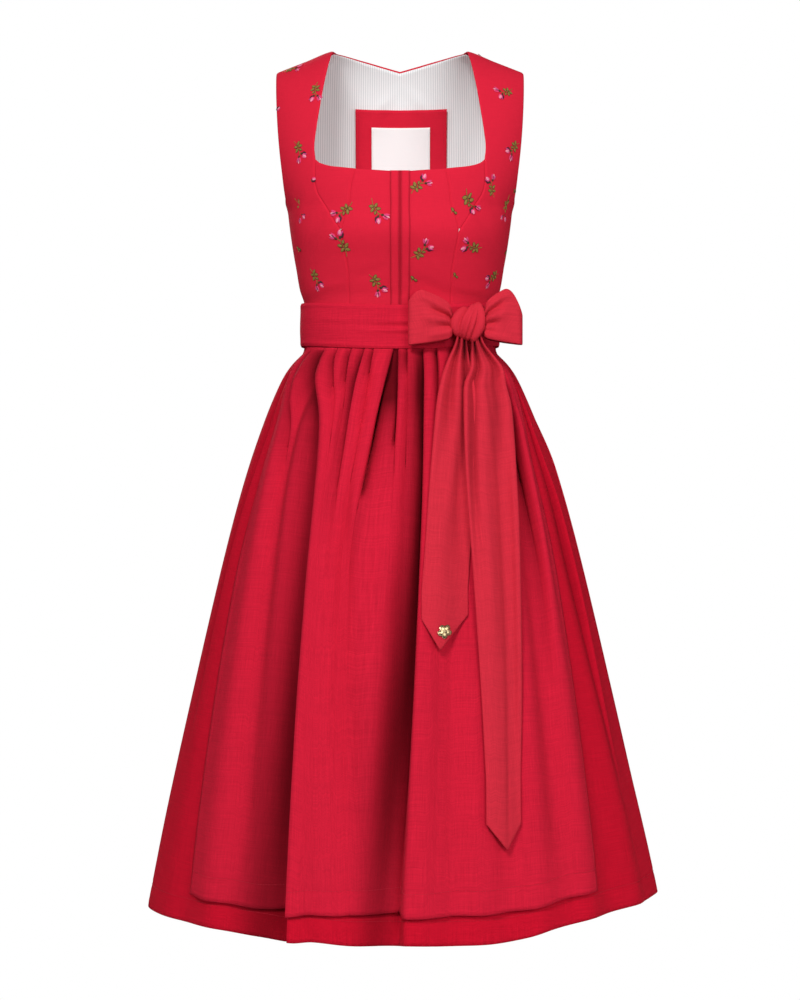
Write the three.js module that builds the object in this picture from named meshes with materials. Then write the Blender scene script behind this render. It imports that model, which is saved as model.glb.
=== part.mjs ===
// Dirndl with a pleated skirt, an apron and a tied sash, hollow as when it is worn.
// Millimetres, +Z up, the front faces -Y and +X is the viewer's right.
// The origin lies midway between the tops of the two shoulder straps.

import * as THREE from 'three';

// ---------------------------------------------------------------- driving sizes

const ARMPIT = -204;            // height of the armhole's lowest point
const WAIST_SEAM = -350;        // bodice above, skirt below, both under the sash
const SKIRT_HEM = -1064;
const APRON_HEM = -1032;
const SASH_TOP = -316;          // at the sides; the front dips
const SASH_WIDTH = 53;
const SASH_DIP = 8;
const SASH_AWAY = 3;            // from the skirt below it, with the apron between

const SEAM_GAP = 0.3;           // between neighbouring pieces
const BODICE_WALL = 1.6;
const SKIRT_WALL = 1.4;
const SASH_WALL = 1.6;
const RIBBON_WALL = 1.4;
const LINING_WALL = 1;
const LAYER_GAP = 0.5;          // between a piece and what it lies on

const NECK_HALF_WIDTH = 82;     // at the shoulder seam
const SHOULDER_HALF_WIDTH = 154;
const SHOULDER_SHARE = 0.998;   // front and back end just short of the shoulder line

const PLACKET_WIDTH = 12;       // one of the two strips over the hidden zip
const PLACKET_BOTTOM = -332;    // hidden by the sash
const PLACKET_WALL = 1.1;

const RIGHT_ANGLE = Math.PI / 2;
const DEGREE = Math.PI / 180;

// Horizontal sections: height, half width, depth to the front and to the back, and how
// square the section is (2 is an ellipse).
const SECTIONS = [
  { z: -150, half: 143, front: 122, back: 100, square: 2.3 },
  { z: ARMPIT, half: 139.5, front: 124, back: 100, square: 2.35 },
  { z: -237, half: 135.3, front: 124, back: 98, square: 2.45 },
  { z: -270, half: 130, front: 110, back: 94, square: 2.35 },
  { z: -298, half: 125, front: 98, back: 89, square: 2.3 },
  { z: -314, half: 120, front: 92.5, back: 87, square: 2.25 },
  { z: WAIST_SEAM, half: 119.5, front: 90, back: 86, square: 2.25 },
  { z: -378, half: 121, front: 91.5, back: 87.5, square: 2.2 },
  { z: -391, half: 129, front: 99, back: 95, square: 2.15 },
  { z: -416, half: 142.5, front: 110, back: 106, square: 2.1 },
  { z: -466, half: 165, front: 130, back: 126, square: 2.05 },
  { z: -541, half: 192, front: 152, back: 148, square: 2 },
  { z: -641, half: 220, front: 178, back: 174, square: 1.9 },
  { z: -791, half: 256, front: 212, back: 208, square: 1.8 },
  { z: -941, half: 290, front: 240, back: 238, square: 1.73 },
  { z: SKIRT_HEM, half: 315, front: 260, back: 260, square: 1.7 },
];

// Shoulder line: height over the distance from the middle. The back rises at the nape.
const SHOULDER_LINE = [
  { x: 0, front: 0, back: 42 },
  { x: 42, front: 0, back: 29 },
  { x: NECK_HALF_WIDTH, front: 0, back: 0 },
  { x: 118, front: -13.5, back: -13.5 },
  { x: SHOULDER_HALF_WIDTH, front: -27, back: -27 },
  { x: 190, front: -40.5, back: -40.5 },
];

// Armhole edge from the armpit to the shoulder point: share of the rise, distance from the
// middle, and the angle round the body (0 is the middle of the front or back, 90 the side).
const ARMHOLE = [
  { rise: 0, half: 139.5, angle: 90 },
  { rise: 0.04, half: 141, angle: 77 },
  { rise: 0.14, half: 144.8, angle: 68 },
  { rise: 0.3, half: 149.5, angle: 64 },
  { rise: 0.5, half: 152.5, angle: 62 },
  { rise: 0.75, half: 154, angle: 61.5 },
  { rise: 1, half: SHOULDER_HALF_WIDTH, angle: 62 },
];

const ARMHOLE_CROWDING = 1.8;   // rows lie closer where the armhole is most curved

// Seams and edges of the front bodice, from the middle outwards and from the waist up.
const PRINCESS_LOW = [
  { x: 60, z: WAIST_SEAM },
  { x: 62, z: -320 },
  { x: 62.5, z: -289 },
  { x: 66.5, z: -262 },
  { x: 71, z: -237 },
];
const PRINCESS_HIGH = [
  { x: 71, z: -237 },
  { x: 65.5, z: -215 },
  { x: 60, z: -190 },
  { x: 54.5, z: -162.5 },
];
const INSERT_EDGE = [
  { x: 71, z: -237 },
  { x: 87, z: -211 },
  { x: 101, z: -186 },
  { x: 102.5, z: -149 },
];
const STRAP_EDGE = [
  { x: 102.5, z: -149 },
  { x: 104, z: -132 },
  { x: 101, z: -106 },
  { x: 96.5, z: -76 },
  { x: 90, z: -36 },
  { x: 85, z: -10 },
  { x: NECK_HALF_WIDTH, z: 0 },
];
const NECK_FRONT = [
  { x: 0, z: -166 },
  { x: 29, z: -165 },
  { x: 54.5, z: -162.5 },
  { x: 82, z: -158.5 },
  { x: 96, z: -154 },
  { x: 102.5, z: -149 },
];

// Back: the seam that runs from the waist to the shoulder, and the neck edge, a shallow V.
const BACK_SEAM = [
  { x: 42, z: WAIST_SEAM },
  { x: 44, z: -316 },
  { x: 56, z: -250 },
  { x: 73, z: -180 },
  { x: 84, z: -132 },
  { x: 94, z: -84 },
  { x: 104, z: -36 },
  { x: 108, z: -10 },
];
const NECK_BACK = [
  { x: 0, z: -12.7 },
  { x: 20, z: -7.9 },
  { x: 41, z: -3.2 },
  { x: 61, z: -0.2 },
  { x: 72, z: 0.5 },
  { x: NECK_HALF_WIDTH, z: 0 },
];

// Fold lines of the skirt and the apron. across: distance from the middle at four heights.
// The cloth drops by `depth` on one side of the line, over the width `fall`, and stands up
// by `rise` on the other, over the width `lie`. side 1 has its valley on the left, -1 on
// the right. The fold grows from the waist to `full` and has faded at `ends`.
const LINE_HEIGHTS = [-376, -470, -650, SKIRT_HEM];
const PAST_HEM = -1500;         // end of a fold that is still deep at the hem
const FRONT_FOLDS = [
  {
    name: 'left_side', across: [-118.5, -158, -213, -296],
    depth: 5, rise: 3, fall: 18, lie: 20, full: -520, ends: -900, side: 1,
  },
  {
    name: 'apron_left', across: [-115, -150, -201, -256],
    depth: 0, rise: 0, fall: 1, lie: 1, full: -400, ends: -500, side: 1,
  },
  {
    name: 'first', across: [-108, -130, -161, -200],
    depth: 9, rise: 5, fall: 16, lie: 16, full: -410, ends: -540, side: 1,
  },
  {
    name: 'deep_left', across: [-92, -98, -110, -122],
    depth: 25, rise: 18, fall: 46, lie: 44, full: -780, ends: PAST_HEM, side: 1,
  },
  {
    name: 'notch_a', across: [-75, -83, -99, -109],
    depth: 5, rise: 2, fall: 9, lie: 8, full: -384, ends: -420, side: 1,
  },
  {
    name: 'notch_b', across: [-58, -71, -90, -97],
    depth: 6, rise: 2, fall: 10, lie: 8, full: -384, ends: -430, side: 1,
  },
  {
    name: 'slanting', across: [-42, -60, -82, -84],
    depth: 10, rise: 7, fall: 15, lie: 14, full: -420, ends: -620, side: 1,
  },
  {
    name: 'notch_c', across: [-31, -46, -71, -71],
    depth: 5, rise: 2, fall: 8, lie: 8, full: -384, ends: -420, side: 1,
  },
  {
    name: 'wedge_left', across: [-9, -30, -60, -58],
    depth: 10, rise: 4, fall: 18, lie: 14, full: -415, ends: -660, side: -1,
  },
  {
    name: 'wedge_right', across: [-1, -4, -14, -40],
    depth: 8, rise: 4, fall: 16, lie: 12, full: -410, ends: -560, side: 1,
  },
  {
    name: 'notch_d', across: [10, 7, 0, -24],
    depth: 5, rise: 2, fall: 8, lie: 8, full: -384, ends: -415, side: 1,
  },
  {
    name: 'deep_middle', across: [29, 23, 10.5, -9],
    depth: 22, rise: 15, fall: 38, lie: 46, full: -780, ends: PAST_HEM, side: 1,
  },
  {
    name: 'notch_e', across: [45, 42, 34, 20],
    depth: 6, rise: 2, fall: 10, lie: 9, full: -384, ends: -440, side: 1,
  },
  {
    name: 'under_bow_a', across: [63, 62, 60, 56],
    depth: 7, rise: 4, fall: 12, lie: 12, full: -400, ends: -560, side: 1,
  },
  {
    name: 'under_bow_b', across: [82, 86, 92, 96],
    depth: 7, rise: 4, fall: 13, lie: 13, full: -400, ends: -640, side: 1,
  },
  {
    name: 'under_bow_c', across: [99, 108, 126, 146],
    depth: 6, rise: 4, fall: 13, lie: 13, full: -400, ends: -560, side: 1,
  },
  {
    name: 'right_valley', across: [111, 135, 169, 200],
    depth: 14, rise: 6, fall: 22, lie: 18, full: -470, ends: -800, side: 1,
  },
  {
    name: 'apron_right', across: [115, 148, 192, 232],
    depth: 0, rise: 0, fall: 1, lie: 1, full: -400, ends: -500, side: 1,
  },
  {
    name: 'right_side', across: [118.5, 159, 209, 300],
    depth: 10, rise: 4, fall: 22, lie: 20, full: -640, ends: -960, side: 1,
  },
];

// Back of the skirt: the same kind of folds, worked out with uneven places and depths.
const BACK_FOLD_COUNT = 17;
const BACK_FOLD_WANDER = 0.28;  // share of the spacing by which a line strays
const BACK_DEPTH_WANDER = 0.3;  // share of its depth by which a fold is deeper or flatter
const BACK_END_WANDER = 90;
const BACK_FOLD = { depth: 8, rise: 4, fall: 14, lie: 14, full: -430, ends: -560, side: 1 };
const BACK_DEEP = { depth: 20, rise: 13, fall: 48, lie: 46, full: -760, ends: PAST_HEM, side: 1 };
const BACK_DEEP_EVERY = 4;      // the second of each so many folds is a deep one

const EDGE_HALF = 1;            // half the width of a fold's step at the waist
const EDGE_GROWTH = 0.009;      // and what it gains for each millimetre below
const EDGE_CROWDING = 0.3;      // but at most this share of the way to the next line
const FOLDS_START = -377.5;
const FOLD_POWER = 0.6;         // how fast a fold deepens below the waist
const FOLD_NARROW = 0.5;        // share of its width that a fold has at the waist
const SKIRT_ROWS = [
  WAIST_SEAM - SEAM_GAP, FOLDS_START, -385, -398, -425, -470, -540, -640, -765, -905,
  APRON_HEM, SKIRT_HEM,
];
const APRON_ROWS = SKIRT_ROWS.slice(0, -1);
const APRON_AIR = 3;            // how far the apron stands off the skirt at its hem

// Ribbon pieces of the sash: heights, and the left and right edges at each height.
const TAIL_SHORT = [
  { z: -372, left: 67, right: 81 },
  { z: -392, left: 57, right: 84 },
  { z: -412, left: 50, right: 88 },
  { z: -441, left: 44, right: 92 },
  { z: -489, left: 39, right: 93 },
  { z: -536, left: 35, right: 90 },
  { z: -584, left: 31.5, right: 86 },
  { z: -630, left: 28, right: 82 },
  { z: -665, left: 25, right: 79.5 },
];
const TAIL_SHORT_TIP = { left: -698, right: -694, point: -734, across: 46.5 };
const TAIL_LONG = [
  { z: -371.6, left: 88, right: 102 },
  { z: -386, left: 91, right: 115 },
  { z: -401, left: 84, right: 124 },
  { z: -422, left: 76.5, right: 128 },
  { z: -446, left: 75.5, right: 134 },
  { z: -485, left: 76, right: 137 },
  { z: -524, left: 77.5, right: 138.5 },
  { z: -583, left: 81, right: 141 },
  { z: -640, left: 85, right: 142 },
  { z: -700, left: 89, right: 142.5 },
  { z: -791, left: 94.5, right: 142.5 },
  { z: -882, left: 99, right: 140 },
];
const TAIL_LONG_TIP = { left: -932, right: -934, point: -963, across: 124 };
const TAIL_CLEARANCE = 3;       // from a tail to the apron below it
const TAIL_REACH = 13;          // a tail bridges folds narrower than this
// The long tail is lifted over the short one, then sinks to the apron below it.
const OVERLAP = { lift: 8, top: -371, rise: 25, bottom: -680, fall: 130 };

// The knot's grooves are as deep as the share `groove` of its size. They wind round it
// `grooves` times, with the slant `slant`.
const KNOT = {
  x: 82, y: -95.8, z: -346.5, half: [19.5, 15, 25], square: 2.8,
  groove: 0.07, grooves: 3, slant: 4,
};
// A loop's distances from the middle, its depths behind (near) and in front (far), and its
// heights, each at the knot (root) and at the end. shoulder: how soon it has widened. The
// end's upper corner drops from the share cornerFrom of the way out.
const LOOP_LEFT = {
  root: 62.8, reach: 10.5, nearRoot: -91, farRoot: -105, nearTip: -103, farTip: -116,
  rootTop: -331, rootBottom: -362, tipTop: -303, tipBottom: -374, shoulder: 0.5,
  cornerFrom: 0.65, cornerDrop: 18,
};
const LOOP_RIGHT = {
  root: 101.7, reach: 148, nearRoot: -84, farRoot: -102, nearTip: -76, farTip: -93,
  rootTop: -328, rootBottom: -363, tipTop: -296, tipBottom: -372, shoulder: 0.55,
  cornerFrom: 0.5, cornerDrop: 39,
};

const LOOP_ROUNDNESS = 0.7;      // below 1 a loop's end is blunter
const LOOP_TURN = { start: 0.3, share: 0.4 };   // part of its length that turns at the end

// notch: distance from the pendant's middle to between two petals, as a share of its radius.
const PENDANT = { x: 52, z: -712, petals: 5, radius: 8.6, notch: 0.72, thickness: 1.6 };
// Rectangles in the neck. They bridge hollows narrower than their reach.
const PATCH = { left: -57, right: 60, top: -60, bottom: -168, reach: 5 };
const LABEL = { left: -36.5, right: 38.5, top: -82, bottom: -150, reach: 2 };

// ---------------------------------------------------------------- curves

// Smooth curve through a table's rows, one value for each named column.
function along(rows, key, column, at) {
  const sign = Math.sign(rows[rows.length - 1][key] - rows[0][key]);
  let k = 0;
  while (k < rows.length - 2 && (at - rows[k + 1][key]) * sign > 0) {
    k += 1;
  }
  const a = rows[k];
  const b = rows[k + 1];
  const span = b[key] - a[key];
  const t = Math.min(1, Math.max(0, (at - a[key]) / span));
  const slope = (i) => {
    const p = rows[Math.max(0, i - 1)];
    const q = rows[Math.min(rows.length - 1, i + 1)];
    return (q[column] - p[column]) / (q[key] - p[key]);
  };
  const m0 = slope(k) * span;
  const m1 = slope(k + 1) * span;
  const t2 = t * t;
  const t3 = t2 * t;
  return (2 * t3 - 3 * t2 + 1) * a[column] + (t3 - 2 * t2 + t) * m0
    + (3 * t2 - 2 * t3) * b[column] + (t3 - t2) * m1;
}

function mix(a, b, t) {
  return a + (b - a) * t;
}

function smooth(t) {
  const s = Math.min(1, Math.max(0, t));
  return s * s * (3 - 2 * s);
}

// Even numbers from 0 to 1.
function shares(count) {
  return Array.from({ length: count + 1 }, (_, i) => i / count);
}

// ---------------------------------------------------------------- the body's surface

function section(z) {
  return {
    half: along(SECTIONS, 'z', 'half', z),
    front: along(SECTIONS, 'z', 'front', z),
    back: along(SECTIONS, 'z', 'back', z),
    square: along(SECTIONS, 'z', 'square', z),
  };
}

// Point of a level section. The angle runs from the middle of the front, over the right
// side, to the middle of the back.
function ringPoint(angle, z) {
  const s = section(z);
  const sin = Math.sin(angle);
  const cos = Math.cos(angle);
  const depth = cos > 0 ? s.front : s.back;
  return new THREE.Vector3(
    Math.sign(sin) * s.half * Math.abs(sin) ** (2 / s.square),
    -Math.sign(cos) * depth * Math.abs(cos) ** (2 / s.square),
    z,
  );
}

function angleAcross(x, z) {
  const s = section(z);
  const share = Math.min(1, Math.abs(x) / s.half);
  return Math.sign(x) * Math.asin(share ** (s.square / 2));
}

// Height of the shoulder line above a point of the front or back.
function shoulderHeight(x, isBack) {
  return along(SHOULDER_LINE, 'x', isBack ? 'back' : 'front', Math.abs(x));
}

// Half width of the arched upper body at a share of its rise.
function archHalf(rise) {
  const square = section(ARMPIT).square;
  const angle = along(ARMHOLE, 'rise', 'angle', rise) * DEGREE;
  return along(ARMHOLE, 'rise', 'half', rise) / Math.sin(angle) ** (2 / square);
}

// The bodice is charted by the angle from the middle and by a level: below 0 it is a
// height under the armpit, and from there it grows to SHOULDER along the rising arch.
const SHOULDER = -ARMPIT;

function bodicePoint(angle, level, isBack) {
  const facing = isBack ? 1 : -1;
  if (level <= 0) {
    const p = ringPoint(angle, ARMPIT + level);
    if (isBack) {
      const s = section(ARMPIT + level);
      p.y = s.back * Math.cos(angle) ** (2 / s.square);
    }
    return p;
  }
  const s = section(ARMPIT);
  const rise = Math.min(level / SHOULDER, SHOULDER_SHARE);
  const turn = rise * RIGHT_ANGLE;
  const x = Math.sign(angle) * archHalf(rise) * Math.abs(Math.sin(angle)) ** (2 / s.square);
  const depth = (isBack ? s.back : s.front) * Math.cos(angle) ** (2 / s.square);
  const height = shoulderHeight(x, isBack) - ARMPIT;
  return new THREE.Vector3(x, facing * depth * Math.cos(turn), ARMPIT + height * Math.sin(turn));
}

// Chart place of a point that is known by its distance from the middle and its height.
function chart(x, z, isBack) {
  if (z <= ARMPIT) {
    return { angle: angleAcross(x, z), level: z - ARMPIT };
  }
  const sin = (z - ARMPIT) / (shoulderHeight(x, isBack) - ARMPIT);
  const rise = Math.asin(Math.min(1, sin)) / RIGHT_ANGLE;
  const share = Math.min(1, Math.abs(x) / archHalf(rise));
  const angle = Math.asin(share ** (section(ARMPIT).square / 2));
  return { angle: Math.sign(x) * angle, level: rise * SHOULDER };
}

const ANGLE_STEP = 0.01;
const LEVEL_STEP = 2;

function bodiceNormal(place, isBack) {
  const toSide = place.angle > 0 ? -ANGLE_STEP : ANGLE_STEP;
  const upward = place.level > SHOULDER - 2 * LEVEL_STEP ? -LEVEL_STEP : LEVEL_STEP;
  const at = bodicePoint(place.angle, place.level, isBack);
  const side = bodicePoint(place.angle + toSide, place.level, isBack).sub(at);
  const up = bodicePoint(place.angle, place.level + upward, isBack).sub(at);
  const normal = new THREE.Vector3().crossVectors(side, up).normalize();
  const facing = isBack ? 1 : -1;
  const outward = normal.y * facing + normal.z * 0.5 + normal.x * Math.sign(at.x) * 0.5;
  return outward < 0 ? normal.negate() : normal;
}

// ---------------------------------------------------------------- walls

// A closed wall between two grids of points, rows by columns.
function wallGeometry(outer, inner) {
  const rows = outer.length;
  const columns = outer[0].length;
  const top = rows - 1;
  const end = columns - 1;
  const points = [...outer.flat(), ...inner.flat()];
  const at = (face, r, c) => face * rows * columns + r * columns + c;
  const triangles = [];
  const quad = (a, b, c, d) => {
    triangles.push(a, b, c, a, c, d);
  };
  for (let r = 0; r < rows - 1; r += 1) {
    for (let c = 0; c < columns - 1; c += 1) {
      quad(at(0, r, c), at(0, r, c + 1), at(0, r + 1, c + 1), at(0, r + 1, c));
      triangles.push(at(1, r, c), at(1, r + 1, c + 1), at(1, r, c + 1));
      triangles.push(at(1, r, c), at(1, r + 1, c), at(1, r + 1, c + 1));
    }
  }
  for (let r = 0; r < rows - 1; r += 1) {
    quad(at(0, r + 1, 0), at(1, r + 1, 0), at(1, r, 0), at(0, r, 0));
    quad(at(0, r, end), at(1, r, end), at(1, r + 1, end), at(0, r + 1, end));
  }
  for (let c = 0; c < columns - 1; c += 1) {
    quad(at(0, 0, c), at(1, 0, c), at(1, 0, c + 1), at(0, 0, c + 1));
    quad(at(0, top, c + 1), at(1, top, c + 1), at(1, top, c), at(0, top, c));
  }
  return solidGeometry(points, triangles);
}

// Faces are turned to point out where the given order makes them point in.
function solidGeometry(points, triangles) {
  let volume = 0;
  const cross = new THREE.Vector3();
  for (let i = 0; i < triangles.length; i += 3) {
    cross.crossVectors(points[triangles[i + 1]], points[triangles[i + 2]]);
    volume += points[triangles[i]].dot(cross);
  }
  const order = volume < 0 ? [...triangles].reverse() : triangles;
  const geometry = new THREE.BufferGeometry().setFromPoints(points);
  geometry.setIndex(order);
  geometry.computeVertexNormals();
  return geometry;
}

// Draws the first and last column in, so that a seam gap stays beside the neighbour.
function trimmed(grid) {
  return grid.map((row) => {
    const points = row.map((p) => p.clone());
    const end = points.length - 1;
    points[0].add(row[1].clone().sub(row[0]).setLength(SEAM_GAP / 2));
    points[end].add(row[end - 1].clone().sub(row[end]).setLength(SEAM_GAP / 2));
    return points;
  });
}

// Wall of bodice cloth over a grid of chart places: from `away` outside the body's surface
// (negative is inside) and `thickness` inwards from there.
function bodiceWall(places, isBack, away, thickness) {
  const layer = (offset) => places.map((row) => row.map((place) => {
    const normal = bodiceNormal(place, isBack);
    return bodicePoint(place.angle, place.level, isBack).addScaledVector(normal, offset);
  }));
  return wallGeometry(trimmed(layer(away)), trimmed(layer(away - thickness)));
}

// ---------------------------------------------------------------- bodice pieces

const CLOTH = { roughness: 0.85, metalness: 0 };
const RED_BODICE = new THREE.MeshStandardMaterial({ color: 0xb3243a, ...CLOTH });
const RED_SKIRT = new THREE.MeshStandardMaterial({ color: 0xaa1c30, ...CLOTH });
const RED_APRON = new THREE.MeshStandardMaterial({ color: 0xb91f36, ...CLOTH });
const STRIPED = new THREE.MeshStandardMaterial({ color: 0xd2d3d4, ...CLOTH });
const WHITE = new THREE.MeshStandardMaterial({ color: 0xe6e4e2, ...CLOTH });
const GILT = new THREE.MeshStandardMaterial({ color: 0xcdb489, roughness: 0.35, metalness: 1 });

const dirndl = new THREE.Group();

function addPiece(name, geometry, material) {
  const mesh = new THREE.Mesh(geometry, material);
  mesh.name = name;
  dirndl.add(mesh);
}

// Chart places of a seam's rows, on one side.
function seamPlaces(rows, side, isBack) {
  return rows.map((row) => chart(side * row.x, row.z, isBack));
}

// Rows of places from one seam to the other, at the given shares of the way.
function between(from, to, ways) {
  return from.map((a, r) => ways.map((way) => ({
    angle: mix(a.angle, to[r].angle, way),
    level: mix(a.level, to[r].level, way),
  })));
}

// The side seam and the armhole as chart places. The armpit is the row `seamRows`.
function sidePlaces(seamRows, holeRows, side) {
  const bottom = WAIST_SEAM - ARMPIT;
  const seam = shares(seamRows).slice(0, -1).map((t) => (
    { angle: side * RIGHT_ANGLE, level: bottom * (1 - t) }));
  const hole = shares(holeRows).map((t) => {
    const rise = t ** ARMHOLE_CROWDING;
    const angle = side * along(ARMHOLE, 'rise', 'angle', rise) * DEGREE;
    return { angle, level: rise * SHOULDER };
  });
  return [...seam, ...hole];
}

const PANEL_WAYS = [1 / 3, 2 / 3, 1];   // columns from the placket to the princess seam
const INSERT_TIP = 0.1;         // share of its first row that the insert's point keeps

function buildFront(side, suffix) {
  const low = seamPlaces(PRINCESS_LOW, side, false);
  const high = seamPlaces(PRINCESS_HIGH, side, false);
  const insert = seamPlaces(INSERT_EDGE, side, false);
  const strap = seamPlaces(STRAP_EDGE, side, false);

  const outer = [...low, ...high.slice(1)];
  const neckZ = NECK_FRONT[0].z;
  const middle = outer.map((_, r) => {
    const t = r / (outer.length - 1);
    return chart(0, mix(WAIST_SEAM, neckZ, t), false);
  });
  const panel = outer.map((place, r) => {
    const height = bodicePoint(0, middle[r].level, false).z;
    const strip = chart(side * PLACKET_WIDTH, height, false);
    return [
      middle[r],
      strip,
      ...PANEL_WAYS.map((way) => ({
        angle: mix(strip.angle, place.angle, way),
        level: mix(strip.level, place.level, way),
      })),
    ];
  });
  addPiece(`bodice_centre_front_${suffix}`,
    bodiceWall(panel, false, 0, BODICE_WALL), RED_BODICE);

  const strip = panel.slice(1).map((row) => row.slice(0, 2));
  strip[0] = strip[0].map(({ angle }) => ({ angle, level: PLACKET_BOTTOM - ARMPIT }));
  addPiece(`placket_${suffix}`,
    bodiceWall(strip, false, LAYER_GAP + PLACKET_WALL, PLACKET_WALL), RED_BODICE);

  const wedge = between(high, insert, shares(3));
  wedge[0] = wedge[0].map((place, c) => ({
    angle: mix(high[0].angle, wedge[1][c].angle, INSERT_TIP),
    level: mix(high[0].level, wedge[1][c].level, INSERT_TIP),
  }));
  wedge[wedge.length - 1] = seamPlaces(NECK_FRONT.slice(2), side, false);
  addPiece(`bodice_bust_insert_${suffix}`,
    bodiceWall(wedge, false, 0, BODICE_WALL), RED_BODICE);

  const inner = [...low, ...insert.slice(1), ...strap.slice(1)];
  const seamRows = low.length + insert.length - 2;
  const edge = sidePlaces(seamRows, strap.length - 1, side);
  addPiece(`bodice_side_front_${suffix}`,
    bodiceWall(between(inner, edge, shares(4)), false, 0, BODICE_WALL), RED_BODICE);
}

const NECK_COLUMNS = [-NECK_HALF_WIDTH, -56, -27, 0, 27, 56, NECK_HALF_WIDTH];
const LINING_DROP = 1.6;        // the lining ends below the shell's turned edge
const BACK_LEAN = 1.2;          // above 1 the back's columns turn late towards the neck
const BACK_SEAM_ROWS = 3;       // of the side seam, below the armpit
const SIDE_BACK_COLUMNS = 4;

// Places of the whole back from side to side, which the shell's three pieces share with the
// lining. The centre piece's top row is the neck edge.
function backPlaces() {
  const seams = [-1, 1].map((side) => {
    const places = seamPlaces(BACK_SEAM, side, true);
    places[places.length - 1].level = SHOULDER;
    return places;
  });
  const shoulder = BACK_SEAM[BACK_SEAM.length - 1].x;
  const top = [-shoulder, ...NECK_COLUMNS, shoulder].map((x) => (
    Math.abs(x) < NECK_HALF_WIDTH
      ? chart(x, along(NECK_BACK, 'x', 'z', Math.abs(x)), true)
      : { ...chart(x, 0, true), level: SHOULDER }));
  const flat = between(seams[0], seams[1], shares(top.length - 1));
  const last = flat.length - 1;
  const centre = flat.map((row, r) => row.map((place, c) => {
    if (c === 0 || c === top.length - 1) {
      return place;
    }
    const t = r / last;
    return {
      angle: mix(flat[0][c].angle, top[c].angle, t ** BACK_LEAN),
      level: mix(flat[0][c].level, top[c].level, t),
    };
  }));
  const [left, right] = [-1, 1].map((side, k) => {
    const edge = sidePlaces(BACK_SEAM_ROWS, last - BACK_SEAM_ROWS, side);
    return between(seams[k], edge, shares(SIDE_BACK_COLUMNS));
  });
  return { left: left.map((row) => [...row].reverse()), centre, right };
}

function buildBack() {
  const back = backPlaces();
  addPiece('bodice_centre_back',
    bodiceWall(back.centre, true, 0, BODICE_WALL), RED_BODICE);
  addPiece('bodice_side_back_left',
    bodiceWall(back.left, true, 0, BODICE_WALL), RED_BODICE);
  addPiece('bodice_side_back_right',
    bodiceWall(back.right, true, 0, BODICE_WALL), RED_BODICE);
}

// ---------------------------------------------------------------- lining, patch, label

// Depth of a grid of points at a place seen from the front.
function depthOn(grid, x, z) {
  for (let r = 0; r < grid.length - 1; r += 1) {
    for (let c = 0; c < grid[r].length - 1; c += 1) {
      const corners = [grid[r][c], grid[r][c + 1], grid[r + 1][c + 1], grid[r + 1][c]];
      for (const [a, b, d] of [[0, 1, 2], [0, 2, 3]]) {
        const [p, q, s] = [corners[a], corners[b], corners[d]];
        const area = (q.x - p.x) * (s.z - p.z) - (s.x - p.x) * (q.z - p.z);
        const u = ((x - p.x) * (s.z - p.z) - (s.x - p.x) * (z - p.z)) / area;
        const v = ((q.x - p.x) * (z - p.z) - (x - p.x) * (q.z - p.z)) / area;
        if (u >= 0 && v >= 0 && u + v <= 1) {
          return p.y + u * (q.y - p.y) + v * (s.y - p.y);
        }
      }
    }
  }
  throw new Error(`nothing lies behind ${x}, ${z}`);
}

// A rectangle of cloth on the hollow side of a grid; returns its own face for the next one.
function buildRectangle(name, size, grid, material) {
  const rows = 6;
  const columns = 8;
  const face = shares(rows).map((v) => shares(columns).map((u) => {
    const x = mix(size.left, size.right, u);
    const z = mix(size.bottom, size.top, v);
    const steps = [-size.reach, 0, size.reach];
    const near = steps.flatMap((dx) => steps.map((dz) => depthOn(grid, x + dx, z + dz)));
    return new THREE.Vector3(x, Math.min(...near) - LAYER_GAP, z);
  }));
  const inner = face.map((row) => row.map((p) => p.clone().setY(p.y - LINING_WALL)));
  addPiece(name, wallGeometry(face, inner), material);
  return inner;
}

function buildLining() {
  const { left, centre, right } = backPlaces();
  const places = centre.map((row, r) => [...left[r], ...row.slice(1, -1), ...right[r]]);
  const away = -(BODICE_WALL + LAYER_GAP);
  const layer = (offset) => {
    const grid = places.map((row) => row.map((place) => {
      const normal = bodiceNormal(place, true);
      return bodicePoint(place.angle, place.level, true).addScaledVector(normal, offset);
    }));
    const below = grid[grid.length - 2];
    grid[grid.length - 1].forEach((p, c) => {
      p.add(below[c].clone().sub(p).setLength(LINING_DROP));
      p.y -= LINING_DROP / 2;
    });
    return trimmed(grid);
  };
  const inner = layer(away - LINING_WALL);
  addPiece('back_lining', wallGeometry(layer(away), inner), STRIPED);
  const patch = buildRectangle('neck_patch', PATCH, inner, RED_BODICE);
  buildRectangle('neck_label', LABEL, patch, WHITE);
}

// ---------------------------------------------------------------- skirt and apron

const ANGLE_START = -RIGHT_ANGLE;
const ARC_STEPS = 720;

// Lengths along a level ring, from the left side over the front, the right side and the
// back to the left side again.
function ringArcs(z) {
  const arcs = [0];
  let last = ringPoint(ANGLE_START, z);
  for (let i = 1; i <= ARC_STEPS; i += 1) {
    const p = ringPoint(ANGLE_START + 4 * RIGHT_ANGLE * i / ARC_STEPS, z);
    arcs.push(arcs[i - 1] + p.distanceTo(last));
    last = p;
  }
  return arcs;
}

function arcAt(arcs, angle) {
  const at = (angle - ANGLE_START) / (4 * RIGHT_ANGLE) * ARC_STEPS;
  const i = Math.min(ARC_STEPS - 1, Math.floor(at));
  return mix(arcs[i], arcs[i + 1], at - i);
}

function angleAt(arcs, arc) {
  let i = 0;
  while (i < ARC_STEPS - 1 && arcs[i + 1] < arc) {
    i += 1;
  }
  const t = (arc - arcs[i]) / (arcs[i + 1] - arcs[i]);
  return ANGLE_START + 4 * RIGHT_ANGLE * (i + t) / ARC_STEPS;
}

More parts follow.
